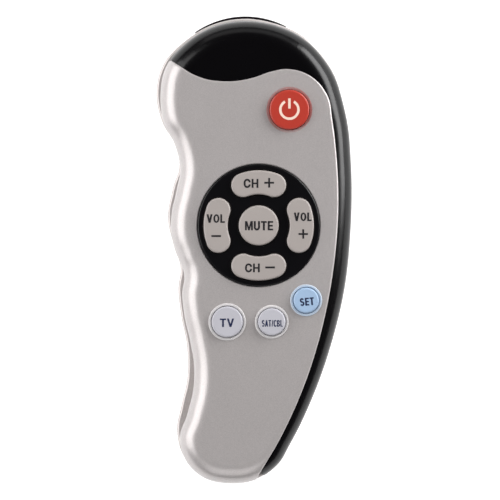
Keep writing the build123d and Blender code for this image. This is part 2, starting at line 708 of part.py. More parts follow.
def contact_pads():
    """Split carbon pad under each key, in two halves."""
    halves = []
    disc = column(PAD_RADIUS, BOARD_TOP, BOARD_TOP + PAD_WALL)
    gap = PAD_SPLIT / 2
    for name, place, key_plan, stem in key_list():
        for side in (-1, 1):
            low, high = sorted((side * gap, side * PAD_RADIUS))
            half = disc & block(low, high, -PAD_RADIUS, PAD_RADIUS, BOARD_TOP, BOARD_TOP + PAD_WALL)
            halves.append(place * stem * half)
    return Compound(halves)


def keypad_mat():
    """Silicone mat with a domed plunger under each key."""
    mat = prism(plan(FRONT_SHARES, MAT_INSET), BOARD_TOP, MAT_TOP)
    mat &= across_body(MAT_LOW_SHARE, MAT_HIGH_SHARE, PARTING, COVER_TOP)
    mat -= case_post_room()
    post = column(BOARD_POST_RADIUS + POST_CLEARANCE, PARTING, COVER_TOP)
    mat -= [at_shares(shares) * post for shares in BOARD_POST_SHARES]
    dome = Pos(0, 0, MAT_TOP) * Cone(DOME_RADIUS, PLUNGER_RADIUS, DOME_HEIGHT, align=ON_LOW)
    plunger = column(PLUNGER_RADIUS, MAT_TOP, STEM_BOTTOM)
    depth = KEY_TRAVEL_ROOM + PILL_WALL
    inner = Cone(DOME_RADIUS - DOME_SKIN, PILL_RADIUS, depth, align=ON_LOW)
    hollow = Pos(0, 0, BOARD_TOP) * inner
    places = [place * stem for name, place, key_plan, stem in key_list()]
    mat += [place * (dome + plunger) for place in places]
    return mat - [place * hollow for place in places]


def controller_chip():
    """Chip under the board, with a row of bent legs on each long side."""
    high = BOARD_BOTTOM - CHIP_LIFT
    chip = block(-CHIP_LENGTH / 2, CHIP_LENGTH / 2, -CHIP_WIDTH / 2, CHIP_WIDTH / 2,
                 high - CHIP_WALL, high)
    middle = high - CHIP_WALL / 2
    half = CHIP_LEG_WIDTH / 2
    for count in range(CHIP_LEGS):
        x = (count - (CHIP_LEGS - 1) / 2) * CHIP_LEG_PITCH
        for side in (-1, 1):
            near, far = side * CHIP_WIDTH / 2, side * (CHIP_WIDTH / 2 + CHIP_LEG_REACH)
            low, top = sorted((near, far))
            chip += block(x - half, x + half, low, top, middle, middle + CHIP_LEG_WALL)
            low, top = sorted((far - side * CHIP_LEG_WALL, far))
            chip += block(x - half, x + half, low, top, middle, BOARD_BOTTOM)
    return at_shares(CHIP_SHARES) * chip


def leads(count, length):
    """Row of straight leads down from the board."""
    half = LEAD_WIDTH / 2
    row = []
    for number in range(count):
        x = (number - (count - 1) / 2) * LEAD_PITCH
        row.append(block(x - half, x + half, -half, half, BOARD_BOTTOM - length, BOARD_BOTTOM))
    return row


def resonator():
    """Ceramic resonator standing on three leads."""
    low = BOARD_BOTTOM - RESONATOR_LIFT - RESONATOR_HEIGHT
    body = prism(Rectangle(RESONATOR_LENGTH, RESONATOR_WIDTH), low, low + RESONATOR_HEIGHT)
    body = fillet(body.edges().filter_by(Axis.Z), RESONATOR_ROUND)
    return at_shares(RESONATOR_SHARES) * (body + leads(RESONATOR_LEADS, RESONATOR_LIFT + RESONATOR_ROUND))


def capacitor():
    """Round capacitor standing on two leads."""
    low = BOARD_BOTTOM - CAPACITOR_LIFT - CAPACITOR_HEIGHT
    body = column(CAPACITOR_RADIUS, low, low + CAPACITOR_HEIGHT)
    body = fillet(body.edges(), CAPACITOR_ROUND)
    return at_shares(CAPACITOR_SHARES) * (body + leads(CAPACITOR_LEADS, CAPACITOR_LIFT + CAPACITOR_ROUND))


def transistor():
    """Transistor with one flat side, standing on three leads."""
    low = BOARD_BOTTOM - TRANSISTOR_LIFT - TRANSISTOR_HEIGHT
    high = low + TRANSISTOR_HEIGHT
    body = column(TRANSISTOR_RADIUS, low, high)
    body &= block(-TRANSISTOR_RADIUS, TRANSISTOR_RADIUS, -TRANSISTOR_FLAT, TRANSISTOR_RADIUS, low, high)
    half = LEAD_WIDTH / 2
    for side in (-1, 0, 1):
        x = side * LEAD_PITCH / 2
        body += block(x - half, x + half, -half, half, high - LEAD_WIDTH, BOARD_BOTTOM)
    return at_shares(TRANSISTOR_SHARES) * body


def resistors():
    """Small flat resistors under the board."""
    one = prism(Rectangle(RESISTOR_LENGTH, RESISTOR_WIDTH), BOARD_BOTTOM - RESISTOR_WALL, BOARD_BOTTOM)
    return Compound([at_shares(shares) * one for shares in RESISTOR_SHARES])


def battery(side):
    """Cell along Y with its nub to the nose on the left and to the lower end on the right."""
    length = CELL_LENGTH - CELL_NUB_LENGTH
    can = column(CELL_RADIUS, 0, length)
    cell = fillet(can.edges(), CELL_ROUND) + column(CELL_NUB_RADIUS, length / 2, CELL_LENGTH)
    reach = CONTACT_WALL + DIMPLE_HEIGHT + CONTACT_TOUCH
    if side < 0:
        foot, turn = BAY_TOP - reach - CELL_LENGTH, Rot(-90, 0, 0)
    else:
        foot, turn = BAY_BOTTOM + reach + CELL_LENGTH, Rot(90, 0, 0)
    return Pos(BAY_X + side * CELL_STEP, foot, CELL_AXIS) * turn * cell


def upper_contact(side):
    """Contact plate at the bay's upper end, with a tab up to the board."""
    x = BAY_X + side * CELL_STEP
    half, tab = CONTACT_WIDTH / 2, CONTACT_TAB_WIDTH / 2
    y_low = BAY_TOP - CONTACT_WALL
    plate = block(x - half, x + half, y_low, BAY_TOP, CELL_AXIS - half, CELL_AXIS + half)
    plate += block(x - tab, x + tab, y_low, BAY_TOP, CELL_AXIS, BOARD_BOTTOM)
    return plate


def dimple(side, y, way):
    """Raised dimple that meets a cell's nub."""
    base = Cone(DIMPLE_RADIUS, DIMPLE_RADIUS / 2, DIMPLE_HEIGHT, align=ON_LOW)
    return Pos(BAY_X + side * CELL_STEP, y, CELL_AXIS) * Rot(-90 * way, 0, 0) * base


def positive_contact():
    """Contact for the left cell's nub."""
    return upper_contact(-1) + dimple(-1, BAY_TOP - CONTACT_WALL, -1)


def link_contact():
    """Plate at the bay's lower end that joins both cells."""
    half = CONTACT_WIDTH / 2
    x_low, x_high = BAY_X - CELL_STEP - half, BAY_X + CELL_STEP + half
    y_high = BAY_BOTTOM + CONTACT_WALL
    plate = block(x_low, x_high, BAY_BOTTOM, y_high, CELL_AXIS - half, CELL_AXIS + half)
    return plate + dimple(1, y_high, 1)


def spring_points():
    """Points of the tapering coil with their directions, a quarter turn apart."""
    steps = ARCS_A_TURN * SPRING_TURNS
    rise = SPRING_LENGTH - SPRING_WIRE
    points = []
    for count in range(steps + 1):
        share = count / steps
        turn = math.tau * SPRING_TURNS * share
        radius = SPRING_BASE_RADIUS + (SPRING_TIP_RADIUS - SPRING_BASE_RADIUS) * share
        drawn_in = (SPRING_TIP_RADIUS - SPRING_BASE_RADIUS) / (math.tau * SPRING_TURNS)
        lift = rise / (math.tau * SPRING_TURNS)
        out = Vector(math.cos(turn), math.sin(turn), 0)
        round_way = Vector(-math.sin(turn), math.cos(turn), 0)
        way = out * drawn_in + round_way * radius + Vector(0, 0, lift)
        points.append((out * radius + Vector(0, 0, SPRING_WIRE / 2 + rise * share), way.normalized()))
    return points


def spring_coil():
    """One unbroken tapering coil of round wire, standing on the XY plane."""
    arcs = []
    points = spring_points()
    for (start, leave), (end, reach) in zip(points, points[1:]):
        meet, along = arcs_meet(start, leave, end, reach)
        arcs.append(TangentArc(start, meet, tangent=leave))
        arcs.append(TangentArc(meet, end, tangent=along))
    path = Wire(arcs)
    start, leave = points[0]
    section = Plane(origin=start, z_dir=leave) * Circle(SPRING_WIRE / 2)
    return sweep(section, path=path)


def spring_gap():
    """Least gap between neighbouring turns of the coil, measured on points of its path."""
    rise = (SPRING_LENGTH - SPRING_WIRE) / SPRING_TURNS
    drawn_in = (SPRING_BASE_RADIUS - SPRING_TIP_RADIUS) / SPRING_TURNS
    spots = []
    for count in range(MEASURES_A_TURN * SPRING_TURNS + 1):
        turned = count / MEASURES_A_TURN
        turn = math.tau * turned
        radius = SPRING_BASE_RADIUS - drawn_in * turned
        spots.append(Vector(radius * math.cos(turn), radius * math.sin(turn), rise * turned))
    apart = []
    for first, spot in enumerate(spots):
        for other in spots[first + MEASURES_A_TURN // 2:]:
            apart.append((spot - other).length)
    return min(apart) - SPRING_WIRE


def battery_spring(side):
    """Coil behind a cell's flat end: at the upper end on the right, at the lower on the left."""
    if side > 0:
        foot, turn = BAY_TOP - CONTACT_WALL, Rot(90, 0, 0)
    else:
        foot, turn = BAY_BOTTOM + CONTACT_WALL, Rot(-90, 0, 0)
    return Pos(BAY_X + side * CELL_STEP, foot, CELL_AXIS) * turn * spring_coil()


def screw(radius, length, head_radius, head_height):
    """Screw with its head below the origin, cross-slotted, and its shank above."""
    head = column(head_radius, -head_height, 0)
    slot = block(-head_radius, head_radius, -SCREW_SLOT / 2, SCREW_SLOT / 2, -head_height, -head_height / 2)
    cross = slot + Rot(0, 0, 90) * slot
    cross &= column(head_radius / 2 + SCREW_SLOT / 2, -head_height, 0)
    return head + column(radius, 0, length) - cross


def case_screws():
    """Four screws up through the rear bosses into the front."""
    one = screw(SCREW_RADIUS, SCREW_LENGTH, SCREW_HEAD_RADIUS, SCREW_HEAD_HEIGHT)
    places = FRAME_BOSS_SHARES + COVER_BOSS_SHARES
    return Compound([at_shares(shares, BORE_TOP) * one for shares in places])


def board_screws():
    """Four short screws that hold the board to the cover's posts."""
    one = screw(BOARD_SCREW_RADIUS, BOARD_SCREW_LENGTH, BOARD_SCREW_HEAD_RADIUS,
                BOARD_SCREW_HEAD_HEIGHT)
    return Compound([at_shares(shares, BOARD_BOTTOM) * one for shares in BOARD_POST_SHARES])


def all_nodes():
    """Every piece under its name."""
    nodes = {
        "rear_shell": rear_shell(),
        "front_cover": front_cover(),
        "front_frame": front_frame(),
        "dial_plate": dial_plate(),
        "infrared_window": infrared_window(),
        "battery_cover": battery_door(),
        "circuit_board": circuit_board(),
        "contact_pads": contact_pads(),
        "keypad_mat": keypad_mat(),
        "controller_chip": controller_chip(),
        "resonator": resonator(),
        "capacitor": capacitor(),
        "transistor": transistor(),
        "resistors": resistors(),
        "infrared_diode": infrared_diode(),
        "battery_1": battery(-1),
        "battery_2": battery(1),
        "positive_contact": positive_contact(),
        "negative_contact": upper_contact(1),
        "link_contact": link_contact(),
        "negative_spring": battery_spring(1),
        "link_spring": battery_spring(-1),
        "case_screws": case_screws(),
        "board_screws": board_screws(),
    }
    for name, place, key_plan, stem in key_list():
        nodes[name + "_key"] = key_cap(place, key_plan, stem)
        nodes[name + "_contact_pill"] = contact_pill(place, stem)
    return nodes


def main():
    os.makedirs("parts", exist_ok=True)
    print(f"least gap between the turns of a battery spring: {spring_gap():.2f} mm")
    for name, solid in all_nodes().items():
        export_step(solid, f"parts/{name}.step")


if __name__ == "__main__":
    main()
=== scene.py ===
"""Hand-held remote control: its finishes, printed words, cells, board work and studio."""

import logging
import math
from dataclasses import dataclass, field
from enum import Enum
from typing import Sequence

import bmesh
import bpy
from mathutils import Matrix, Vector


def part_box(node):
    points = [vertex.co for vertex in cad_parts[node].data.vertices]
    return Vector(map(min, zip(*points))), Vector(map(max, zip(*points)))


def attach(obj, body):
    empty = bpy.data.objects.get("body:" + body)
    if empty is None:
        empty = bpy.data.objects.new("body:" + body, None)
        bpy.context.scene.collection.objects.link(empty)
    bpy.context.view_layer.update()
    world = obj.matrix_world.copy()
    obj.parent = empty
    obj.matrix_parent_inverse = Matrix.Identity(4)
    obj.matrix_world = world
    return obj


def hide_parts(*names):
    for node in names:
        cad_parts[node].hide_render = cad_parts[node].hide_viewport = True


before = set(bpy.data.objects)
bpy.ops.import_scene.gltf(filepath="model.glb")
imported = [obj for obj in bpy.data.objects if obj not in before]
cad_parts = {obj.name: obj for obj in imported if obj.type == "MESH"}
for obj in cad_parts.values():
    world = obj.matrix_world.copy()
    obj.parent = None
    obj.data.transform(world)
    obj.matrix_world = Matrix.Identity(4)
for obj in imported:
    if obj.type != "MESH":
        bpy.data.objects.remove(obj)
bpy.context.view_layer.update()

LOG = logging.getLogger("remote_control")
Colour = tuple[float, float, float]
Spot = tuple[float, float]
Loops = list[list[Spot]]
Socket = bpy.types.NodeSocket
Mesh = bpy.types.Mesh
Shape = bmesh.types.BMesh

MM = 0.001
HOUSING = "housing"

# Levels and sizes of the CAD model, in millimetres.
KEY_FACE = 25.3
COVER_FACE = 24.0
BOARD_FACE = 15.55
KEY_GAP = 0.18

# How far printed ink goes into a face and stands over it, in millimetres.
INK_DEPTH = 0.02
INK_HEIGHT = 0.02

CIRCLE_STEPS = 96
MERGE_DISTANCE = 1e-5


class Slot(str, Enum):
    """Names of material slots, listed beside each key's print; nothing reads them, since the added
    pieces take their finish straight from a Finish.
    """

    COVER = "cover_silver"
    CELL = "cell_jacket"
    CONTACT = "contact_nickel"
    BOARD = "board_green"
    RED = "key_red"
    BLUE = "key_blue"
    LIGHT = "key_light"
    GREY = "key_grey"


# ---- Materials

# Ends between which a pattern is spread: soft noise seldom leaves its middle.
SOFT_ENDS: Spot = (0.3, 0.7)
FULL_ENDS: Spot = (0.0, 1.0)


def linear(colour: Colour) -> tuple[float, float, float, float]:
    """Linear red, green, blue and alpha of an sRGB colour given from 0 to 255."""
    shares = [value / 255 for value in colour]
    values = [s / 12.92 if s <= 0.04045 else ((s + 0.055) / 1.055) ** 2.4 for s in shares]
    return values[0], values[1], values[2], 1.0


class Tree:
    """A node tree, with short calls that place and join its nodes."""

    def __init__(self, tree: bpy.types.NodeTree) -> None:
        """Starts with an empty tree."""
        self.tree = tree
        self.tree.nodes.clear()

    def add(self, kind: str, inputs: dict[str | int, object] | None = None,
            **properties: object) -> bpy.types.Node:
        """Adds a node.

        Args:
            kind: Blender's name for the node.
            inputs: What its inputs get, by name or number.
            properties: Properties of the node to set.

        Returns:
            The node.
        """
        node = self.tree.nodes.new(kind)
        for name, value in properties.items():
            setattr(node, name, value)
        self.feed(node, inputs or {})
        return node

    def feed(self, node: bpy.types.Node, inputs: dict[str | int, object]) -> None:
        """Links the inputs that get a socket and sets the others."""
        for name, value in inputs.items():
            if isinstance(value, Socket):
                self.tree.links.new(value, node.inputs[name])
            else:
                node.inputs[name].default_value = value


class Shading(Tree):
    """Node tree of one material, with the patterns that its surface is made of."""

    def __init__(self, name: str) -> None:
        """Starts a material with a surface shader and the piece's own coordinates."""
        self.material = bpy.data.materials.new(name)
        self.material.use_nodes = True
        super().__init__(self.material.node_tree)
        self.surface = self.add("ShaderNodeBsdfPrincipled")
        self.add("ShaderNodeOutputMaterial", {"Surface": self.surface.outputs["BSDF"]})
        self.place = self.add("ShaderNodeTexCoord").outputs["Object"]

    def set(self, **values: object) -> None:
        """Feeds the surface shader, whose inputs are named with underscores."""
        self.feed(self.surface, {name.replace("_", " "): value for name, value in values.items()})

    def noise(self, size_mm: float, seed: float, detail: float = 2.0) -> Socket:
        """Soft noise on the piece's coordinates.

        Args:
            size_mm: Size of a spot of the noise.
            seed: Which of many like patterns it is.
            detail: How many finer layers it has.

        Returns:
            The noise, from 0 to 1.
        """
        inputs = {"Vector": self.place, "Scale": 1 / (size_mm * MM), "Detail": detail, "W": seed}
        return self.add("ShaderNodeTexNoise", inputs, noise_dimensions="4D").outputs["Fac"]

    def flakes(self, size_mm: float) -> Socket:
        """Brightness of small flakes, one value for each."""
        cells = self.add("ShaderNodeTexVoronoi", {"Vector": self.place, "Scale": 1 / (size_mm * MM)})
        grey = self.add("ShaderNodeSeparateColor", {"Color": cells.outputs["Color"]})
        return grey.outputs["Red"]

    def vary(self, value: Socket, middle: float, share: float, ends: Spot = SOFT_ENDS) -> Socket:
        """Maps a value between two ends on to a share less and a share more than the middle."""
        inputs = {"Value": value, "From Min": ends[0], "From Max": ends[1],
                  "To Min": middle * (1 - share), "To Max": middle * (1 + share)}
        return self.add("ShaderNodeMapRange", inputs).outputs["Result"]

    def shade(self, colour: Colour, value: Socket) -> Socket:
        """Colour made lighter or darker by a value about 1."""
        inputs = {0: linear(colour)[:3], "Scale": value}
        return self.add("ShaderNodeVectorMath", inputs, operation="SCALE").outputs["Vector"]

    def times(self, first: Socket, second: Socket) -> Socket:
        """Product of two values."""
        return self.add("ShaderNodeMath", {0: first, 1: second}, operation="MULTIPLY").outputs["Value"]

    def bump(self, height: Socket, depth_mm: float) -> Socket:
        """Normal of a surface raised by a pattern of that depth."""
        inputs = {"Distance": depth_mm * MM, "Height": height}
        return self.add("ShaderNodeBump", inputs).outputs["Normal"]


def polish(weight: float, roughness: float = 0.12) -> dict[str, object]:
    """Inputs of the surface shader that give it a clear layer."""
    return {"Coat_Weight": weight, "Coat_Roughness": roughness}


@dataclass(frozen=True)
class Finish:
    """Moulded material: colour, gloss, the fine spark grain of its mould and what else it has."""

    name: str
    colour: Colour
    roughness: float = 0.42
    rough_share: float = 0.08
    grain_mm: float = 0.16
    grain_depth_mm: float = 0.004
    grain_seed: float = 2.0
    mottle: float = 0.03
    mottle_mm: float = 9.0
    mottle_seed: float = 1.0
    specular: float = 0.5
    extra: dict[str, object] = field(default_factory=dict)

    def material(self) -> bpy.types.Material:
        """Makes the finish's material."""
        shading = Shading(self.name)
        self.dress(shading)
        return shading.material

    def mottling(self, shading: Shading) -> Socket:
        """Broad, faint change of tone, about 1."""
        return shading.vary(shading.noise(self.mottle_mm, self.mottle_seed), 1.0, self.mottle)

    def dress(self, shading: Shading) -> None:
        """Colours, roughens and grains the surface."""
        grain = shading.noise(self.grain_mm, self.grain_seed)
        shading.set(Base_Color=shading.shade(self.colour, self.mottling(shading)),
                    Roughness=shading.vary(grain, self.roughness, self.rough_share),
                    Specular_IOR_Level=self.specular,
                    Normal=shading.bump(grain, self.grain_depth_mm), **self.extra)


@dataclass(frozen=True)
class SilverPaint(Finish):
    """Silver lacquer: bright flakes of many tones under a thin clear layer."""

    rough_share: float = 0.1
    metallic: float = 0.34
    flake_mm: float = 0.14
    flake_tone: float = 0.09
    coat: float = 0.25
    coat_roughness: float = 0.18

    def dress(self, shading: Shading) -> None:
        """Adds flakes to the lacquer's tone and its clear layer."""
        grain = shading.noise(self.grain_mm, self.grain_seed)
        flakes = shading.flakes(self.flake_mm)
        sparkle = shading.vary(flakes, 1.0, self.flake_tone, FULL_ENDS)
        tone = shading.times(self.mottling(shading), sparkle)
        shading.set(Base_Color=shading.shade(self.colour, tone), Metallic=self.metallic,
                    Roughness=shading.vary(flakes, self.roughness, self.rough_share, FULL_ENDS),
                    Normal=shading.bump(grain, self.grain_depth_mm),
                    **polish(self.coat, self.coat_roughness))


@dataclass(frozen=True)
class BareMetal(Finish):
    """Plated or drawn metal with fine lines along one axis."""

    rough_share: float = 0.2
    grain_seed: float = 3.0
    grain_detail: float = 3.0
    lines: tuple[float, float, float] = (1.0, 1.0, 14.0)

    def dress(self, shading: Shading) -> None:
        """Draws the noise out into lines."""
        stretch = shading.add("ShaderNodeMapping", {"Vector": shading.place, "Scale": self.lines})
        shading.place = stretch.outputs["Vector"]
        drawn = shading.noise(self.grain_mm, self.grain_seed, self.grain_detail)
        shading.set(Base_Color=shading.shade(self.colour, shading.vary(drawn, 1.0, self.mottle)),
                    Roughness=shading.vary(drawn, self.roughness, self.rough_share), Metallic=1.0,
                    Normal=shading.bump(drawn, self.grain_depth_mm))


@dataclass(frozen=True)
class BoardLacquer(Finish):
    """Green solder mask over glass cloth, whose weave shows faintly."""

    mottle_seed: float = 0.0
    weave_mm: float = 0.5
    weave_tone: float = 0.07
    coat: float = 0.4
    coat_roughness: float = 0.2

    def dress(self, shading: Shading) -> None:
        """Lays the weave over the mask's own tone."""
        weave = shading.add("ShaderNodeTexChecker",
                            {"Vector": shading.place, "Scale": 1 / (self.weave_mm * MM)})
        cloth = shading.vary(weave.outputs["Fac"], 1.0, self.weave_tone, FULL_ENDS)
        tone = shading.times(cloth, self.mottling(shading))
        shading.set(Base_Color=shading.shade(self.colour, tone), Roughness=self.roughness,
                    **polish(self.coat, self.coat_roughness))


WINDOW_DEPTH = {"Subsurface_Weight": 0.15, "Subsurface_Scale": MM,
                "Subsurface_Radius": linear((58, 8, 16))[:3], **polish(1.0, 0.04)}
SILICONE_DEPTH = {"Subsurface_Weight": 0.35, "Subsurface_Scale": 0.8 * MM,
                  "Sheen_Weight": 0.15, "Sheen_Roughness": 0.5}
CLEAR_DEPTH = {"Transmission_Weight": 0.85, "IOR": 1.5}

COVER_SILVER = SilverPaint("cover_silver_paint", (203, 197, 196), roughness=0.34, mottle=0.012)
REAR_SILVER = SilverPaint("rear_silver_paint", (206, 199, 197), roughness=0.36, mottle=0.012)
DOOR_SILVER = SilverPaint("door_silver_paint", (205, 199, 197), roughness=0.38, mottle=0.015)
# Rims round the small keys are the cover's own silver paint. Their near-white is a painted highlight on
# the rims' rounding, and the blue tint round SET is a painted reflection of the blue key.
RIM_PAINTED_HIGHLIGHT = Finish("key_rim_painted_highlight", (224, 221, 221), roughness=0.3, mottle=0.012)
RIM_PAINTED_BLUE_REFLECTION = Finish("set_rim_painted_highlight_and_reflection", (200, 214, 230), roughness=0.3, mottle=0.012)
FRAME_BLACK = Finish("frame_black_plastic", (6, 5, 7), roughness=0.22, mottle=0.08, specular=0.3,
                     extra=polish(0.02, 0.1))
DIAL_BLACK = Finish("dial_black_plastic", (5, 4, 7), roughness=0.34, mottle=0.08, specular=0.3,
                    extra=polish(0.05))
WINDOW_DARK = Finish("infrared_window_plastic", (16, 5, 9), roughness=0.08, grain_depth_mm=0.0005,
                     extra=WINDOW_DEPTH)
KEY_RED = Finish("power_key_red", (190, 62, 49), roughness=0.34)
KEY_BLUE = Finish("set_key_blue", (172, 199, 230), roughness=0.34, mottle=0.02)
KEY_LILAC = Finish("source_key_lilac", (201, 200, 208), roughness=0.34, mottle=0.02)
KEY_GREY = Finish("dial_key_grey", (179, 171, 167), roughness=0.36, mottle=0.02)
INK_BLACK = Finish("black_ink", (24, 22, 27), roughness=0.5, grain_depth_mm=0.002)
INK_NAVY = Finish("navy_ink", (22, 34, 74), roughness=0.5, grain_depth_mm=0.002)
INK_CREAM = Finish("cream_ink", (255, 226, 210), roughness=0.5, grain_depth_mm=0.002)
MAT_SILICONE = Finish("keypad_silicone", (196, 196, 198), roughness=0.62, grain_depth_mm=0.01,
                      extra=SILICONE_DEPTH)
CARBON = Finish("carbon_print", (32, 31, 33), roughness=0.8, grain_mm=0.08, grain_depth_mm=0.006)
BOARD_GREEN = BoardLacquer("board_green_lacquer", (28, 112, 62))
TRACK_GREEN = Finish("covered_track_green", (44, 138, 78), roughness=0.4)
CHIP_BLACK = Finish("chip_epoxy", (38, 37, 38), roughness=0.62, grain_mm=0.09, grain_depth_mm=0.01)
RESONATOR_TAN = Finish("resonator_dip", (204, 150, 60), roughness=0.4, mottle=0.06)
CAPACITOR_SLEEVE = Finish("capacitor_sleeve_blue", (34, 46, 108), roughness=0.34)
DIODE_CLEAR = Finish("diode_resin", (214, 220, 232), roughness=0.06, grain_depth_mm=0.0005,
                     extra=CLEAR_DEPTH)
NICKEL = BareMetal("contact_nickel_plate", (206, 200, 188), roughness=0.26, grain_mm=0.5)
STEEL = BareMetal("screw_steel_plate", (172, 172, 174), roughness=0.34, grain_mm=0.3)
SOLDER = BareMetal("solder", (196, 198, 202), roughness=0.22, lines=(1.0, 1.0, 1.0))
CELL_STEEL = BareMetal("cell_steel", (202, 202, 200), roughness=0.28, lines=(1.0, 9.0, 1.0))
CELL_SLEEVE = Finish("cell_sleeve_film", (58, 78, 92), roughness=0.36, extra=polish(0.5))
CELL_BAND = Finish("cell_band_film", (196, 190, 170), roughness=0.36, extra=polish(0.5))

NODE_FINISHES: dict[str, Finish] = {
    "rear_shell": REAR_SILVER,
    "front_cover": COVER_SILVER,
    "battery_cover": DOOR_SILVER,
    "front_frame": FRAME_BLACK,
    "dial_plate": DIAL_BLACK,
    "infrared_window": WINDOW_DARK,
    "circuit_board": BOARD_GREEN,
    "contact_pads": CARBON,
    "keypad_mat": MAT_SILICONE,
    "controller_chip": CHIP_BLACK,
    "transistor": CHIP_BLACK,
    "resistors": CHIP_BLACK,
    "resonator": RESONATOR_TAN,
    "capacitor": CAPACITOR_SLEEVE,
    "infrared_diode": DIODE_CLEAR,
    "battery_1": CELL_STEEL,
    "battery_2": CELL_STEEL,
    "positive_contact": NICKEL,
    "negative_contact": NICKEL,
    "link_contact": NICKEL,
    "negative_spring": NICKEL,
    "link_spring": NICKEL,
    "case_screws": STEEL,
    "board_screws": STEEL,
    "power_key": KEY_RED,
    "set_key": KEY_BLUE,
    "tv_key": KEY_LILAC,
    "satellite_key": KEY_LILAC,
}


class Wardrobe:
    """Keeps one material for each finish."""

    def __init__(self) -> None:
        """Starts empty."""
        self.made: dict[str, bpy.types.Material] = {}

    def of(self, finish: Finish) -> bpy.types.Material:
        """Material of a finish, made at its first use."""
        if finish.name not in self.made:
            self.made[finish.name] = finish.material()
        return self.made[finish.name]

    def dress_nodes(self) -> None:
        """Gives every CAD node its finish."""
        for name, node in sorted(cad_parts.items()):
            plain = CARBON if name.endswith("_contact_pill") else KEY_GREY
            finish = NODE_FINISHES.get(name, plain)
            for place in node.material_slots:
                place.material = self.of(finish)
            LOG.info("node %s: %s", name, finish.name)


WARDROBE = Wardrobe()


# ---- Meshes


def put_piece(name: str, mesh: Mesh, finish: Finish, body: str,
              stands_for: Sequence[str] = (), smooth: bool = True) -> None:
    """Adds a finished mesh to the object.

    Args:
        name: Name of the piece.
        mesh: Its mesh, in metres and in place.
        finish: What it is made of.
        body: The CAD body that carries it.
        stands_for: CAD nodes that it replaces.
        smooth: Whether its faces are shaded smooth.
    """
    mesh.name = name
    mesh.materials.clear()
    mesh.materials.append(WARDROBE.of(finish))
    for face in mesh.polygons:
        face.use_smooth = smooth
    piece = bpy.data.objects.new(name, mesh)
    bpy.context.scene.collection.objects.link(piece)
    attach(piece, body)
    if stands_for:
        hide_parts(*stands_for)
    LOG.info("piece %s on %s: %d faces", name, body, len(mesh.polygons))


def finish_mesh(shape: Shape) -> Mesh:
    """Merges doubles, turns the faces outward and writes the mesh, from millimetres to metres."""
    bmesh.ops.remove_doubles(shape, verts=shape.verts, dist=MERGE_DISTANCE)
    bmesh.ops.recalc_face_normals(shape, faces=shape.faces)
    bmesh.ops.scale(shape, vec=(MM, MM, MM), verts=shape.verts)
    mesh = bpy.data.meshes.new("piece")
    shape.to_mesh(mesh)
    shape.free()
    return mesh


def add_slab(shape: Shape, outline: Sequence[Spot], low: float, high: float) -> None:
    """Adds an upright slab over an outline, between two levels in millimetres."""
    lower = [shape.verts.new((x, y, low)) for x, y in outline]
    upper = [shape.verts.new((x, y, high)) for x, y in outline]
    shape.faces.new(lower)
    shape.faces.new(upper)
    for count in range(len(outline)):
        after = (count + 1) % len(outline)
        shape.faces.new((lower[count], lower[after], upper[after], upper[count]))


def add_plate(shape: Shape, loops: Sequence[Sequence[Spot]], low: float, high: float) -> None:
    """Adds a flat plate that has an outline and may have holes.

    Args:
        shape: The mesh that takes the plate.
        loops: The outline and then the outline of each hole, in millimetres.
        low: Level of its lower face.
        high: Level of its upper face.
    """
    edges = []
    for loop in loops:
        corners = [shape.verts.new((x, y, high)) for x, y in loop]
        edges += [shape.edges.new(pair) for pair in zip(corners, corners[1:] + corners[:1])]
    filled = bmesh.ops.triangle_fill(shape, use_beauty=True, edges=edges, normal=(0, 0, 1))
    faces = [item for item in filled["geom"] if isinstance(item, bmesh.types.BMFace)]
    grown = bmesh.ops.extrude_face_region(shape, geom=faces)
    lower = [item for item in grown["geom"] if isinstance(item, bmesh.types.BMVert)]
    bmesh.ops.translate(shape, vec=(0, 0, low - high), verts=lower)


def bar_outline(middle: Spot, length: float, width: float) -> list[Spot]:
    """Corners of a straight bar, with its length along X."""
    return [(middle[0] + along * length / 2, middle[1] + across * width / 2)
            for along, across in ((1, 1), (-1, 1), (-1, -1), (1, -1))]


def bend(middle: Spot, radii: Spot, start: float, end: float, steps: int = 16) -> list[Spot]:
    """Points on part of an ellipse.

    Args:
        middle: Its centre.
        radii: Its half width and half height.
        start: Angle of the first point, in degrees.
        end: Angle of the last point, in degrees.
        steps: Number of pieces between them.

    Returns:
        The points, in order.
    """
    turns = [math.radians(start + (end - start) * step / steps) for step in range(steps + 1)]
    return [(middle[0] + radii[0] * math.cos(turn), middle[1] + radii[1] * math.sin(turn))
            for turn in turns]


def stroke_outline(path: Sequence[Spot], width: float, sharpest: float = 0.5) -> list[Spot]:
    """Outline of a stroke of even width along an open path.

    Args:
        path: Points of its middle line.
        width: Width of the stroke.
        sharpest: Least share that a corner's reach is divided by.

    Returns:
        Corners round the stroke.
    """
    left: list[Spot] = []
    right: list[Spot] = []
    for count, spot in enumerate(path):
        here = Vector(spot)
        before = (here - Vector(path[max(count - 1, 0)])).normalized()
        after = (Vector(path[min(count + 1, len(path) - 1)]) - here).normalized()
        way = (before + after).normalized()
        reach = width / 2 / max(way.dot(after if after.length else before), sharpest)
        left.append((here.x - way.y * reach, here.y + way.x * reach))
        right.append((here.x + way.y * reach, here.y - way.x * reach))
    return left + right[::-1]


def lathe(profile: Sequence[Spot], closed: bool = False) -> Mesh:
    """Turns a profile round the Z axis.

    Args:
        profile: Radius and height of each point, in millimetres.
        closed: Whether the last point is joined to the first.

    Returns:
        The mesh, in metres, standing on the origin.
    """
    shape = bmesh.new()
    points = [shape.verts.new((radius, 0.0, height)) for radius, height in profile]
    pairs = list(zip(points, points[1:])) + ([(points[-1], points[0])] if closed else [])
    edges = [shape.edges.new(pair) for pair in pairs]
    bmesh.ops.spin(shape, geom=points + edges, axis=(0, 0, 1), cent=(0, 0, 0),
                   angle=math.tau, steps=CIRCLE_STEPS, use_merge=True)
    return finish_mesh(shape)


# ---- Printed words

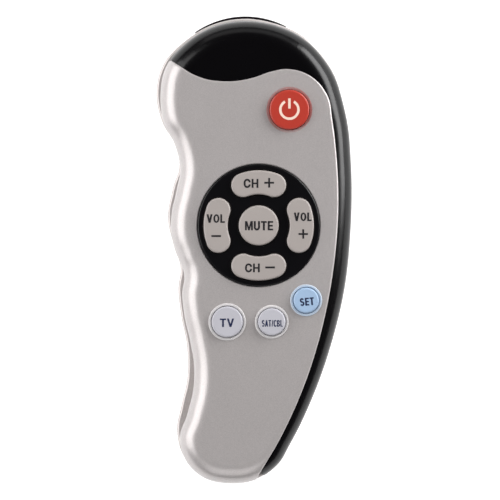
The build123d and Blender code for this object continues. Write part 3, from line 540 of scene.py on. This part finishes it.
LETTER_SHARES = {"A": 1.04, "B": 0.96, "C": 1.0, "E": 0.84, "H": 0.96, "L": 0.8, "M": 1.22,
                 "O": 1.06, "S": 0.94, "T": 0.9, "U": 0.96, "V": 1.04, "/": 0.56}

# Corners of the letters without bends or slants: the first sign of each says how far across
# it is and the second how high, as Letter.straight reads them.
STRAIGHT_LETTERS = {"E": "00 w0 wt st sl el eg sg sk wk wh 0h",
                    "H": "00 s0 sl rl r0 w0 wh rh rg sg sh 0h",
                    "L": "00 w0 wt st sh 0h",
                    "T": "a0 b0 bk wk wh 0h 0k ak"}

# Thickness of slanted strokes, as shares of an upright one.
LEG_WEIGHT = 1.06
STEM_WEIGHT = 0.92
SLASH_WEIGHT = 0.8

# Shorter arms and waists, as a share of a letter's width.
NARROW = 0.94


@dataclass(frozen=True)
class Letter:
    """Box and strokes of one bold letter, in millimetres, with its foot on the X axis.

    Numbers in the drawings are angles, or shares of the box or of a stroke.
    """

    width: float
    height: float
    upright: float
    level: float

    @property
    def middle(self) -> float:
        """Half of its width."""
        return self.width / 2

    def bowl(self) -> Spot:
        """Half width and half height of a round end's middle line."""
        half = (self.width - self.upright) / 2
        return half, min(half * 1.1, (self.height - self.level) / 2)

    def outline(self, sign: str) -> Loops:
        """Loops of corners of a letter: its outline and then its holes."""
        if sign in STRAIGHT_LETTERS:
            return self.straight(STRAIGHT_LETTERS[sign])
        drawings = {"A": self.draw_a, "B": self.draw_b, "C": self.draw_c, "M": self.draw_m,
                    "O": self.draw_o, "S": self.draw_s, "U": self.draw_u, "V": self.draw_v,
                    "/": self.draw_slash}
        return drawings[sign]()

    def straight(self, corners: str) -> Loops:
        """A letter of upright and level edges only."""
        w, h, s, t, x = self.width, self.height, self.upright, self.level, self.middle
        across = {"0": 0, "s": s, "a": x - s / 2, "b": x + s / 2, "r": w - s, "e": w * NARROW, "w": w}
        levels = {"0": 0, "t": t, "l": (h - t) / 2, "g": (h + t) / 2, "k": h - t, "h": h}
        return [[(across[first], levels[second]) for first, second in corners.split()]]

    def draw_a(self) -> Loops:
        """An A: two legs and the opening over its bar."""
        w, h, s, t, x = self.width, self.height, self.upright * LEG_WEIGHT, self.level, self.middle
        tip, bar = s * 0.5, h * 0.2
        lean = (x - tip) / h
        foot, sill = s + lean * bar, s + lean * (bar + t)
        peak = (x - s) / lean
        legs = [(0, 0), (s, 0), (foot, bar), (w - foot, bar), (w - s, 0), (w, 0), (x + tip, h),
                (x - tip, h)]
        return [legs, [(sill, bar + t), (w - sill, bar + t), (x, peak)]]

    def draw_b(self) -> Loops:
        """A B: a stem with two bowls."""
        w, h, s, t = self.width, self.height, self.upright, self.level
        half = h / 2
        reach = min(half / 2, w * 0.6)
        waist = w * NARROW
        lower = bend((w - reach, half / 2), (reach, half / 2), -90, 62)
        upper = bend((waist - reach, half * 1.5), (reach, half / 2), -62, 90)
        hole = min(reach - t * 0.7, (half - t * 1.3) / 2)
        holes = []
        for edge, low, high in ((w, t, half - t * 0.4), (waist, half + t * 0.4, h - t)):
            centre = (edge - s * 0.95 - hole, (low + high) / 2)
            holes.append([(s, low), *bend(centre, (hole, (high - low) / 2), -90, 90), (s, high)])
        return [[(0, 0), *lower, *upper, (0, h)], *holes]

    def draw_c(self) -> Loops:
        """A C: one stroke round an open side."""
        x, (across, up) = self.middle, self.bowl()
        low, high = self.level / 2 + up, self.height - self.level / 2 - up
        path = bend((x, high), (across, up), 4, 180) + bend((x, low), (across, up), 180, 356)
        return [stroke_outline(path, self.upright)]

    def draw_m(self) -> Loops:
        """An M: two stems and the V between them."""
        w, h, s, x = self.width, self.height, self.upright * STEM_WEIGHT, self.middle
        shoulder, tip, dip = s * 1.28, s * 0.42, h * 0.34
        steep = (h - dip) / (x - shoulder)
        armpit = steep * (x - tip - s)
        return [[(0, 0), (s, 0), (s, armpit), (x - tip, 0), (x + tip, 0), (w - s, armpit),
                 (w - s, 0), (w, 0), (w, h), (w - shoulder, h), (x, dip), (shoulder, h), (0, h)]]

    def draw_o(self) -> Loops:
        """An O: two ovals."""
        x, y = self.middle, self.height / 2
        return [bend((x, y), (x - across, y - up), 0, 350, 35)
                for across, up in ((0.0, 0.0), (self.upright, self.level))]

    def draw_s(self) -> Loops:
        """An S: one stroke through two bowls."""
        x, across, up = self.middle, (self.width - self.upright) / 2, (self.height - self.level) / 4
        high, low = self.height - self.level / 2 - up, self.level / 2 + up
        path = bend((x, high), (across, up), 22, 262) + bend((x, low), (across, up), 82, -158)
        return [stroke_outline(path, (self.upright + self.level) / 2)]

    def draw_u(self) -> Loops:
        """A U: one stroke round its foot."""
        x, (across, up) = self.middle, self.bowl()
        foot = bend((x, self.level / 2 + up), (across, up), 180, 360)
        path = [(x - across, self.height), *foot, (x + across, self.height)]
        return [stroke_outline(path, self.upright)]

    def draw_v(self) -> Loops:
        """A V."""
        w, h, s, x = self.width, self.height, self.upright * LEG_WEIGHT, self.middle
        tip = s * 0.5
        crotch = h - (x - s) * h / (x - tip)
        return [[(x - tip, 0), (x + tip, 0), (w, h), (w - s, h), (x, crotch), (s, h), (0, h)]]

    def draw_slash(self) -> Loops:
        """A slanted stroke."""
        w, h, s = self.width, self.height, self.upright * SLASH_WEIGHT
        return [[(0, 0), (s, 0), (w, h), (w - s, h)]]


@dataclass(frozen=True)
class Word:
    """A printed word in bold capitals: where it stands and how large it is, in millimetres."""

    letters: str
    middle: Spot
    size: Spot
    turn: float = 0.0
    weight: float = 0.21
    level_share: float = 0.86
    gap: float = 0.105

    def add_to(self, shape: Shape) -> None:
        """Adds the letters to a mesh, as thin plates on the key's face."""
        wide, tall = self.size
        gap, upright = self.gap * tall, self.weight * tall
        shares = sum(LETTER_SHARES[sign] for sign in self.letters)
        unit = (wide - gap * (len(self.letters) - 1)) / shares
        place = Matrix.Translation((*self.middle, 0)) @ Matrix.Rotation(math.radians(self.turn), 4, "Z")
        along = -wide / 2
        for sign in self.letters:
            letter = Letter(LETTER_SHARES[sign] * unit, tall, upright, upright * self.level_share)
            loops = [[(place @ Vector((along + x, y - tall / 2, 0))).xy.to_tuple() for x, y in loop]
                     for loop in letter.outline(sign)]
            add_plate(shape, loops, KEY_FACE - INK_DEPTH, KEY_FACE + INK_HEIGHT)
            along += letter.width + gap


@dataclass(frozen=True)
class Sign:
    """A printed plus or minus sign."""

    middle: Spot
    length: float = 3.1
    stroke: float = 0.6
    upright: bool = True

    def add_to(self, shape: Shape) -> None:
        """Adds the sign's strokes to a mesh."""
        low, high = KEY_FACE - INK_DEPTH, KEY_FACE + INK_HEIGHT
        add_slab(shape, bar_outline(self.middle, self.length, self.stroke), low, high)
        if not self.upright:
            return
        arm = (self.length - self.stroke) / 2
        for side in (-1, 1):
            middle = (self.middle[0], self.middle[1] + side * (arm + self.stroke) / 2)
            add_slab(shape, bar_outline(middle, self.stroke, arm), low, high)


@dataclass(frozen=True)
class StandbySign:
    """The usual ring with a stroke through its gap."""

    middle: Spot
    radius: float = 2.9
    stroke: float = 0.8
    gap: float = 58.0
    bar_low: float = 0.35
    bar_high: float = 3.6
    steps: int = 72

    def add_to(self, shape: Shape) -> None:
        """Adds ring and stroke to a mesh."""
        low, high = KEY_FACE - INK_DEPTH, KEY_FACE + INK_HEIGHT
        ends = (90 + self.gap / 2, 450 - self.gap / 2)
        outer, inner = self.radius + self.stroke / 2, self.radius - self.stroke / 2
        ring = bend(self.middle, (outer, outer), *ends, self.steps)
        ring += bend(self.middle, (inner, inner), *ends, self.steps)[::-1]
        add_slab(shape, ring, low, high)
        middle = (self.middle[0], self.middle[1] + (self.bar_low + self.bar_high) / 2)
        add_slab(shape, bar_outline(middle, self.stroke, self.bar_high - self.bar_low), low, high)


KEY_PRINTS: dict[str, tuple[Finish, Slot, list[Word | Sign | StandbySign]]] = {
    "power": (INK_CREAM, Slot.RED, [StandbySign((11.33, 44.7))]),
    "mute": (INK_BLACK, Slot.GREY, [Word("MUTE", (1.62, 7.55), (9.0, 2.95))]),
    "channel_up": (INK_BLACK, Slot.GREY, [Word("CH", (-0.95, 21.1), (4.7, 2.85)), Sign((4.85, 21.3))]),
    "channel_down": (INK_BLACK, Slot.GREY,
                     [Word("CH", (-0.5, -5.95), (4.7, 2.8)), Sign((5.15, -5.8), upright=False)]),
    "volume_down": (INK_BLACK, Slot.GREY,
                    [Word("VOL", (-12.25, 9.85), (5.85, 2.75)), Sign((-12.1, 4.25), upright=False)]),
    "volume_up": (INK_BLACK, Slot.GREY,
                  [Word("VOL", (15.6, 10.4), (5.7, 2.75)), Sign((15.75, 4.9), 3.0)]),
    "tv": (INK_NAVY, Slot.LIGHT, [Word("TV", (-8.65, -23.5), (4.5, 2.7))]),
    "satellite": (INK_NAVY, Slot.LIGHT,
                  [Word("SAT/CBL", (5.85, -23.7), (6.7, 2.1), weight=0.158, gap=0.06)]),
    "set": (INK_NAVY, Slot.BLUE, [Word("SET", (16.95, -16.75), (4.5, 2.5), turn=5.0)]),
}


def print_keys() -> None:
    """Prints its words and signs on each key."""
    for key, (ink, slot, marks) in KEY_PRINTS.items():
        shape = bmesh.new()
        for mark in marks:
            mark.add_to(shape)
        put_piece(f"{key}_print", finish_mesh(shape), ink, f"{key}_button", smooth=False)


# ---- Trim


@dataclass
class KeyRimHighlights:
    """Thin rings over the silver rims round the three small keys, lighter than the cover: a painted
    highlight, and round SET also a painted reflection of the blue key.
    """

    keys: dict[str, tuple[Spot, float, Finish]] = field(default_factory=lambda: {
        "tv": ((-8.576, -23.25), 5.0, RIM_PAINTED_HIGHLIGHT),
        "satellite": ((5.697, -23.25), 4.4, RIM_PAINTED_HIGHLIGHT),
        "set": ((16.714, -16.35), 4.1, RIM_PAINTED_BLUE_REFLECTION),
    })
    width: float = 0.8
    height: float = 0.3
    shell: float = 0.03
    roll: float = 0.27
    roll_steps: int = 6

    def profile(self, radius: float) -> list[Spot]:
        """Section of one ring, as radius and height, from its inner foot over its crest."""
        inner, outer = radius + KEY_GAP - self.shell, radius + KEY_GAP + self.width + self.shell
        foot, roll = COVER_FACE - self.shell, self.roll + self.shell
        top = COVER_FACE + self.height + self.shell - roll
        rise = bend((inner + roll, top), (roll, roll), 180, 90, self.roll_steps)
        fall = bend((outer - roll, top), (roll, roll), 90, 0, self.roll_steps)
        return [(inner, foot), *rise, *fall, (outer, foot)]

    def build(self) -> None:
        """Turns and places each ring."""
        for key, (middle, radius, finish) in self.keys.items():
            mesh = lathe(self.profile(radius), closed=True)
            mesh.transform(Matrix.Translation(Vector((*middle, 0.0)) * MM))
            # Each ring carries painted highlight, and the SET ring also painted blue reflection, over
            # the rim's own silver.
            put_piece(f"{key}_rim", mesh, finish, HOUSING)


# ---- Cells


class Pole(Enum):
    """Which way a cell's nub points along the body."""

    TO_NOSE = 1
    TO_TAIL = -1


@dataclass
class Cell:
    """One cell: a steel can in a film sleeve, with a band and signs at its poles.

    The foot is given as radius and height of its corners, and the groove round the nub as
    radius and depth below the shoulder.
    """

    node: str
    pole: Pole
    radius: float = 5.25
    foot: tuple[Spot, ...] = ((0.0, 0.12), (3.3, 0.12), (3.5, 0.0), (4.3, 0.0))
    groove: tuple[Spot, ...] = ((4.3, 0.1), (3.0, 0.1), (2.7, 0.3), (2.15, 0.3))
    nub_radius: float = 1.9
    nub_height: float = 1.0
    nub_bevel: float = 0.25
    film: float = 0.12
    film_lift: float = 0.02
    lip: float = 0.55
    lip_steps: int = 6
    band_start: float = 34.0
    band_width: float = 0.9
    sign_size: float = 3.0
    sign_stroke: float = 0.7
    plus_inset: float = 4.5
    minus_inset: float = 4.0
    wrap_steps: int = 10

    def __post_init__(self) -> None:
        """Reads the cell's place from its CAD node."""
        low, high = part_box(self.node)
        self.middle = (low + high) / 2
        self.length = (high.y - low.y) / MM
        self.top = self.length - self.nub_height
        self.end = low.y if self.pole is Pole.TO_NOSE else high.y

    def place(self, mesh: Mesh) -> Mesh:
        """Lays an upright mesh along the body with its foot at the flat end."""
        tilt = Matrix.Rotation(math.radians(-90 * self.pole.value), 4, "X")
        foot = Vector((self.middle.x, self.end, self.middle.z))
        mesh.transform(Matrix.Translation(foot) @ tilt)
        return mesh

    def can_profile(self) -> list[Spot]:
        """Section of the can: flat foot, straight wall, shoulder, groove and nub."""
        inside, nub, bevel = self.radius - self.film, self.nub_radius, self.nub_bevel
        groove = [(radius, self.top - depth) for radius, depth in self.groove]
        return [*self.foot, (inside, self.lip), (inside, self.top - self.lip), *groove,
                (nub, self.top), (nub, self.length - bevel), (nub - bevel, self.length),
                (0.0, self.length)]

    def sleeve_profile(self) -> list[Spot]:
        """Section of the film, drawn in over both ends of the can."""
        x, radii = self.radius - self.lip, (self.lip, self.lip)
        points = bend((x, self.lip + self.film_lift), radii, -90, 0, self.lip_steps)
        points += bend((x, self.top - self.lip), radii, 0, 90, self.lip_steps)
        return points + [(radius - self.film, height) for radius, height in reversed(points)]

    def wrap(self, shape: Shape, half_width: float, low: float, high: float) -> None:
        """Adds a thin patch that lies round the can, on the side that shows in the open bay."""
        side, turn = 90 * self.pole.value, math.degrees(half_width / self.radius)
        for level in (0.0, INK_HEIGHT):
            reach = self.radius + level - INK_HEIGHT / 2
            arc = bend((0.0, 0.0), (reach, reach), side - turn, side + turn, self.wrap_steps)
            rows = [[shape.verts.new((*spot, height)) for height in (low, high)] for spot in arc]
            for first, second in zip(rows, rows[1:]):
                shape.faces.new((first[0], second[0], second[1], first[1]))

    def print_signs(self) -> Mesh:
        """Plus and minus signs on the sleeve."""
        shape = bmesh.new()
        half, stroke = self.sign_size / 2, self.sign_stroke / 2
        plus, minus = self.top - self.plus_inset, self.minus_inset
        self.wrap(shape, half, plus - stroke, plus + stroke)
        self.wrap(shape, stroke, plus + stroke, plus + half)
        self.wrap(shape, stroke, plus - half, plus - stroke)
        self.wrap(shape, half, minus - stroke, minus + stroke)
        return finish_mesh(shape)

    def build(self) -> None:
        """Makes can, sleeve, band and signs."""
        low, high = self.band_start, self.band_start + self.band_width
        skin = self.radius + INK_HEIGHT / 2
        band = [(skin - INK_HEIGHT, low), (skin, low), (skin, high), (skin - INK_HEIGHT, high)]
        for part, mesh, finish, stands_for in (
                ("can", lathe(self.can_profile()), CELL_STEEL, [self.node]),
                ("sleeve", lathe(self.sleeve_profile(), closed=True), CELL_SLEEVE, []),
                ("band", lathe(band, closed=True), CELL_BAND, []),
                ("signs", self.print_signs(), CELL_BAND, [])):
            put_piece(f"{self.node}_{part}", self.place(mesh), finish, HOUSING,
                      stands_for=stands_for)


# ---- Board work


class NodeRecipe(Tree):
    """A Geometry Nodes tree built step by step, with named inputs."""

    def __init__(self, name: str) -> None:
        """Starts a tree with a geometry input and output."""
        super().__init__(bpy.data.node_groups.new(name, "GeometryNodeTree"))
        for way in ("INPUT", "OUTPUT"):
            self.tree.interface.new_socket("Geometry", in_out=way, socket_type="NodeSocketGeometry")
        self.values: dict[str, object] = {}
        self.source = self.add("NodeGroupInput")

    def take(self, name: str, kind: str, value: object) -> Socket:
        """Adds a named input of a kind of socket and gives it its value."""
        item = self.tree.interface.new_socket(name, in_out="INPUT", socket_type=kind)
        self.values[item.identifier] = value
        return self.source.outputs[name]

    def length(self, name: str, value_mm: float) -> Socket:
        """Adds a named size, given in millimetres and used in metres."""
        return self.take(name, "NodeSocketFloat", value_mm * MM)

    def run(self, seed: Mesh, geometry: Socket, finish: Finish) -> Mesh:
        """Ends the tree, with its instances realised and its material set, and applies it.

        Args:
            seed: Points or edges that the tree works on.
            geometry: What the tree has made of them.
            finish: What the result is made of.

        Returns:
            The result as a plain mesh.
        """
        paint = self.take("Finish", "NodeSocketMaterial", WARDROBE.of(finish))
        for kind, inputs in (("GeometryNodeRealizeInstances", {}), ("GeometryNodeSetShadeSmooth", {}),
                             ("GeometryNodeSetMaterial", {"Material": paint})):
            geometry = self.add(kind, {"Geometry": geometry, **inputs}).outputs["Geometry"]
        self.add("NodeGroupOutput", {"Geometry": geometry})
        holder = bpy.data.objects.new(self.tree.name, seed)
        bpy.context.scene.collection.objects.link(holder)
        modifier = holder.modifiers.new(self.tree.name, "NODES")
        modifier.node_group = self.tree
        for identifier, value in self.values.items():
            modifier[identifier] = value
        bpy.context.view_layer.update()
        graph = bpy.context.evaluated_depsgraph_get()
        mesh = bpy.data.meshes.new_from_object(holder.evaluated_get(graph))
        holder.modifiers.remove(modifier)
        bpy.data.objects.remove(holder)
        bpy.data.meshes.remove(seed)
        return mesh


@dataclass
class BoardWork:
    """Solder joints and lacquered tracks on the underside of the circuit board."""

    chip: Spot = (1.878, 24.0)
    chip_legs: int = 10
    leg_pitch: float = 1.27
    leg_reach: float = 4.8
    resonator: Spot = (13.772, 28.5)
    capacitor: Spot = (-12.52, 45.0)
    transistor: Spot = (-1.252, 45.0)
    pitch: float = 2.54
    joint_radius: float = 0.5
    joint_tip: float = 0.2
    joint_height: float = 0.45
    joint_sides: int = 20
    joint_rows: int = 3
    track_width: float = 0.32
    track_height: float = 0.04
    track_start: float = 0.8
    track_stagger: float = 0.55
    track_fan: float = 0.8
    track_end: float = 4.0

    @staticmethod
    def row(middle: Spot, count: int, pitch: float) -> list[Spot]:
        """Places in an even row along X."""
        return [(middle[0] + (place - (count - 1) / 2) * pitch, middle[1]) for place in range(count)]

    def joints(self) -> list[Spot]:
        """Places of the solder joints."""
        legs = [(x, y + side * self.leg_reach)
                for x, y in self.row(self.chip, self.chip_legs, self.leg_pitch) for side in (-1, 1)]
        return (legs + self.row(self.resonator, 3, self.pitch) + self.row(self.capacitor, 2, self.pitch)
                + self.row(self.transistor, 3, self.pitch / 2))

    def routes(self) -> Loops:
        """Corners of the tracks that fan out from the chip's legs."""
        paths = []
        for count, (x, y) in enumerate(self.row(self.chip, self.chip_legs, self.leg_pitch)):
            share = count - (self.chip_legs - 1) / 2
            shift = share * self.track_fan
            step = self.track_start + self.track_stagger * (self.chip_legs / 2 - abs(share))
            for side in (-1, 1):
                start = y + side * (self.leg_reach + self.joint_radius)
                corner = start + side * step
                paths.append([(x, start), (x, corner), (x + shift, corner + side * abs(shift)),
                              (x + shift, corner + side * (abs(shift) + self.track_end))])
        return paths

    def solder(self) -> None:
        """Sets a cone of solder on each joint."""
        seed = bpy.data.meshes.new("joint_places")
        seed.from_pydata([(x * MM, y * MM, BOARD_FACE * MM) for x, y in self.joints()], [], [])
        recipe = NodeRecipe("solder_joints")
        height = recipe.length("Height", self.joint_height)
        cone = recipe.add("GeometryNodeMeshCone", {
            "Radius Top": recipe.length("Foot Radius", self.joint_radius),
            "Radius Bottom": recipe.length("Tip Radius", self.joint_tip), "Depth": height,
            "Vertices": self.joint_sides, "Side Segments": self.joint_rows})
        lower = recipe.add("ShaderNodeMath", {0: height, 1: -1.0}, operation="MULTIPLY")
        drop = recipe.add("ShaderNodeCombineXYZ", {"Z": lower.outputs["Value"]})
        moved = recipe.add("GeometryNodeTransform", {"Geometry": cone.outputs["Mesh"],
                                                     "Translation": drop.outputs["Vector"]})
        spread = recipe.add("GeometryNodeInstanceOnPoints",
                            {"Points": recipe.source.outputs["Geometry"],
                             "Instance": moved.outputs["Geometry"]})
        mesh = recipe.run(seed, spread.outputs["Instances"], SOLDER)
        put_piece("solder_joints", mesh, SOLDER, HOUSING)

    def tracks(self) -> None:
        """Draws the lacquered tracks along their routes."""
        corners: list[tuple[float, float, float]] = []
        edges: list[tuple[int, int]] = []
        level = (BOARD_FACE - self.track_height / 2) * MM
        for path in self.routes():
            first = len(corners)
            corners += [(x * MM, y * MM, level) for x, y in path]
            edges += [(first + step, first + step + 1) for step in range(len(path) - 1)]
        seed = bpy.data.meshes.new("track_routes")
        seed.from_pydata(corners, edges, [])
        recipe = NodeRecipe("board_tracks")
        line = recipe.add("GeometryNodeMeshToCurve", {"Mesh": recipe.source.outputs["Geometry"]})
        section = recipe.add("GeometryNodeCurvePrimitiveQuadrilateral",
                             {"Width": recipe.length("Width", self.track_width),
                              "Height": recipe.length("Height", self.track_height)})
        sweep = recipe.add("GeometryNodeCurveToMesh",
                           {"Curve": line.outputs["Curve"],
                            "Profile Curve": section.outputs["Curve"], "Fill Caps": True})
        mesh = recipe.run(seed, sweep.outputs["Mesh"], TRACK_GREEN)
        put_piece("board_tracks", mesh, TRACK_GREEN, HOUSING, smooth=False)

    def build(self) -> None:
        """Makes the joints and the tracks."""
        self.solder()
        self.tracks()


# ---- Studio


@dataclass(frozen=True)
class SoftBox:
    """A studio lamp: its way from the object, size in metres, power in watts and colour."""

    name: str
    azimuth: float
    tilt: float
    distance: float
    size: Spot
    power: float
    colour: Colour = (255, 255, 255)

    def build(self, target: Vector) -> None:
        """Hangs the lamp so that it faces the object."""
        light = bpy.data.lights.new(self.name, "AREA")
        light.shape = "RECTANGLE"
        light.size, light.size_y = self.size
        light.energy = self.power
        light.color = linear(self.colour)[:3]
        lamp = bpy.data.objects.new(self.name, light)
        bpy.context.scene.collection.objects.link(lamp)
        turn, tilt = math.radians(self.azimuth), math.radians(self.tilt)
        way = Vector((math.cos(turn) * math.sin(tilt), math.sin(turn) * math.sin(tilt), math.cos(tilt)))
        lamp.location = target + way * self.distance
        lamp.rotation_euler = way.to_track_quat("Z", "Y").to_euler()
        lamp.visible_camera = False
        LOG.info("lamp %s", self.name)


@dataclass
class Studio:
    """Pale floor, just under the object, soft lamps and a camera straight above."""

    floor_radius: float = 4.0
    floor_level: float = -0.00004
    floor_tone: float = 0.8
    floor_glow: float = 0.6
    world_tone: float = 0.06
    camera_height: float = 2.0
    view_width: float = 160.6
    view_middle: Spot = (-1.28, -0.22)
    view_level: float = 18.0
    sensor: float = 36.0
    far: float = 100.0
    lamps: tuple[SoftBox, ...] = (
        SoftBox("left_box", azimuth=168, tilt=58, distance=0.8, size=(0.9, 0.72), power=6.7),
        SoftBox("right_box", azimuth=28, tilt=72, distance=0.5, size=(0.5, 0.22), power=3.3),
        SoftBox("nose_box", azimuth=92, tilt=70, distance=0.8, size=(0.8, 0.3), power=0.6),
        SoftBox("tail_box", azimuth=268, tilt=52, distance=0.6, size=(0.5, 0.4), power=0.8),
    )

    def floor(self) -> None:
        """Lays the floor."""
        shape = bmesh.new()
        bmesh.ops.create_circle(shape, cap_ends=True, segments=CIRCLE_STEPS,
                                radius=self.floor_radius / MM)
        mesh = finish_mesh(shape)
        mesh.transform(Matrix.Translation((0, 0, self.floor_level)))
        if mesh.polygons[0].normal.z < 0:
            mesh.flip_normals()
        mesh.name = "floor"
        floor = bpy.data.objects.new("floor", mesh)
        bpy.context.scene.collection.objects.link(floor)
        mesh.materials.append(self.floor_material())

    def floor_material(self) -> bpy.types.Material:
        """Matt white that camera, mirrors and glass see as plain white, with a soft shadow."""
        material = bpy.data.materials.new("floor_paper")
        material.use_nodes = True
        tree = Tree(material.node_tree)
        path = tree.add("ShaderNodeLightPath")
        seen = path.outputs["Is Camera Ray"]
        for name in ("Is Glossy Ray", "Is Transmission Ray"):
            either = tree.add("ShaderNodeMath", {0: seen, 1: path.outputs[name]}, operation="MAXIMUM")
            seen = either.outputs["Value"]
        strength = tree.add("ShaderNodeMapRange", {"Value": seen, "To Max": self.floor_glow})
        glow = tree.add("ShaderNodeEmission", {"Strength": strength.outputs["Result"]})
        paper = tree.add("ShaderNodeBsdfDiffuse", {"Color": (self.floor_tone,) * 3 + (1.0,)})
        both = tree.add("ShaderNodeAddShader", {0: paper.outputs["BSDF"], 1: glow.outputs["Emission"]})
        tree.add("ShaderNodeOutputMaterial", {"Surface": both.outputs["Shader"]})
        return material

    def world(self) -> None:
        """Sets a dim, even room that the camera sees as white."""
        world = bpy.data.worlds.new("studio_room")
        bpy.context.scene.world = world
        world.use_nodes = True
        tree = Tree(world.node_tree)
        seen = tree.add("ShaderNodeLightPath").outputs["Is Camera Ray"]
        strength = tree.add("ShaderNodeMapRange", {"Value": seen, "To Min": self.world_tone})
        room = tree.add("ShaderNodeBackground", {"Strength": strength.outputs["Result"]})
        tree.add("ShaderNodeOutputWorld", {"Surface": room.outputs["Background"]})

    def camera(self) -> None:
        """Hangs the camera over the middle of the photograph's frame."""
        data = bpy.data.cameras.new("camera")
        data.sensor_width = self.sensor
        reach = self.camera_height - self.view_level * MM
        data.lens = self.sensor * reach / (self.view_width * MM)
        data.clip_end = self.far
        camera = bpy.data.objects.new("camera", data)
        bpy.context.scene.collection.objects.link(camera)
        camera.location = (self.view_middle[0] * MM, self.view_middle[1] * MM, self.camera_height)
        bpy.context.scene.camera = camera

    def build(self) -> None:
        """Sets up the whole studio."""
        self.floor()
        self.world()
        for lamp in self.lamps:
            lamp.build(Vector((0, 0, self.view_level * MM)))
        self.camera()
        bpy.context.scene.view_settings.view_transform = "Standard"


def main() -> None:
    """Dresses the model, adds its pieces and sets up the studio."""
    logging.basicConfig(level=logging.INFO, format="%(name)s: %(message)s")
    WARDROBE.dress_nodes()
    print_keys()
    KeyRimHighlights().build()
    Cell("battery_1", Pole.TO_NOSE).build()
    Cell("battery_2", Pole.TO_TAIL).build()
    BoardWork().build()
    Studio().build()


if __name__ == "__main__":
    main()
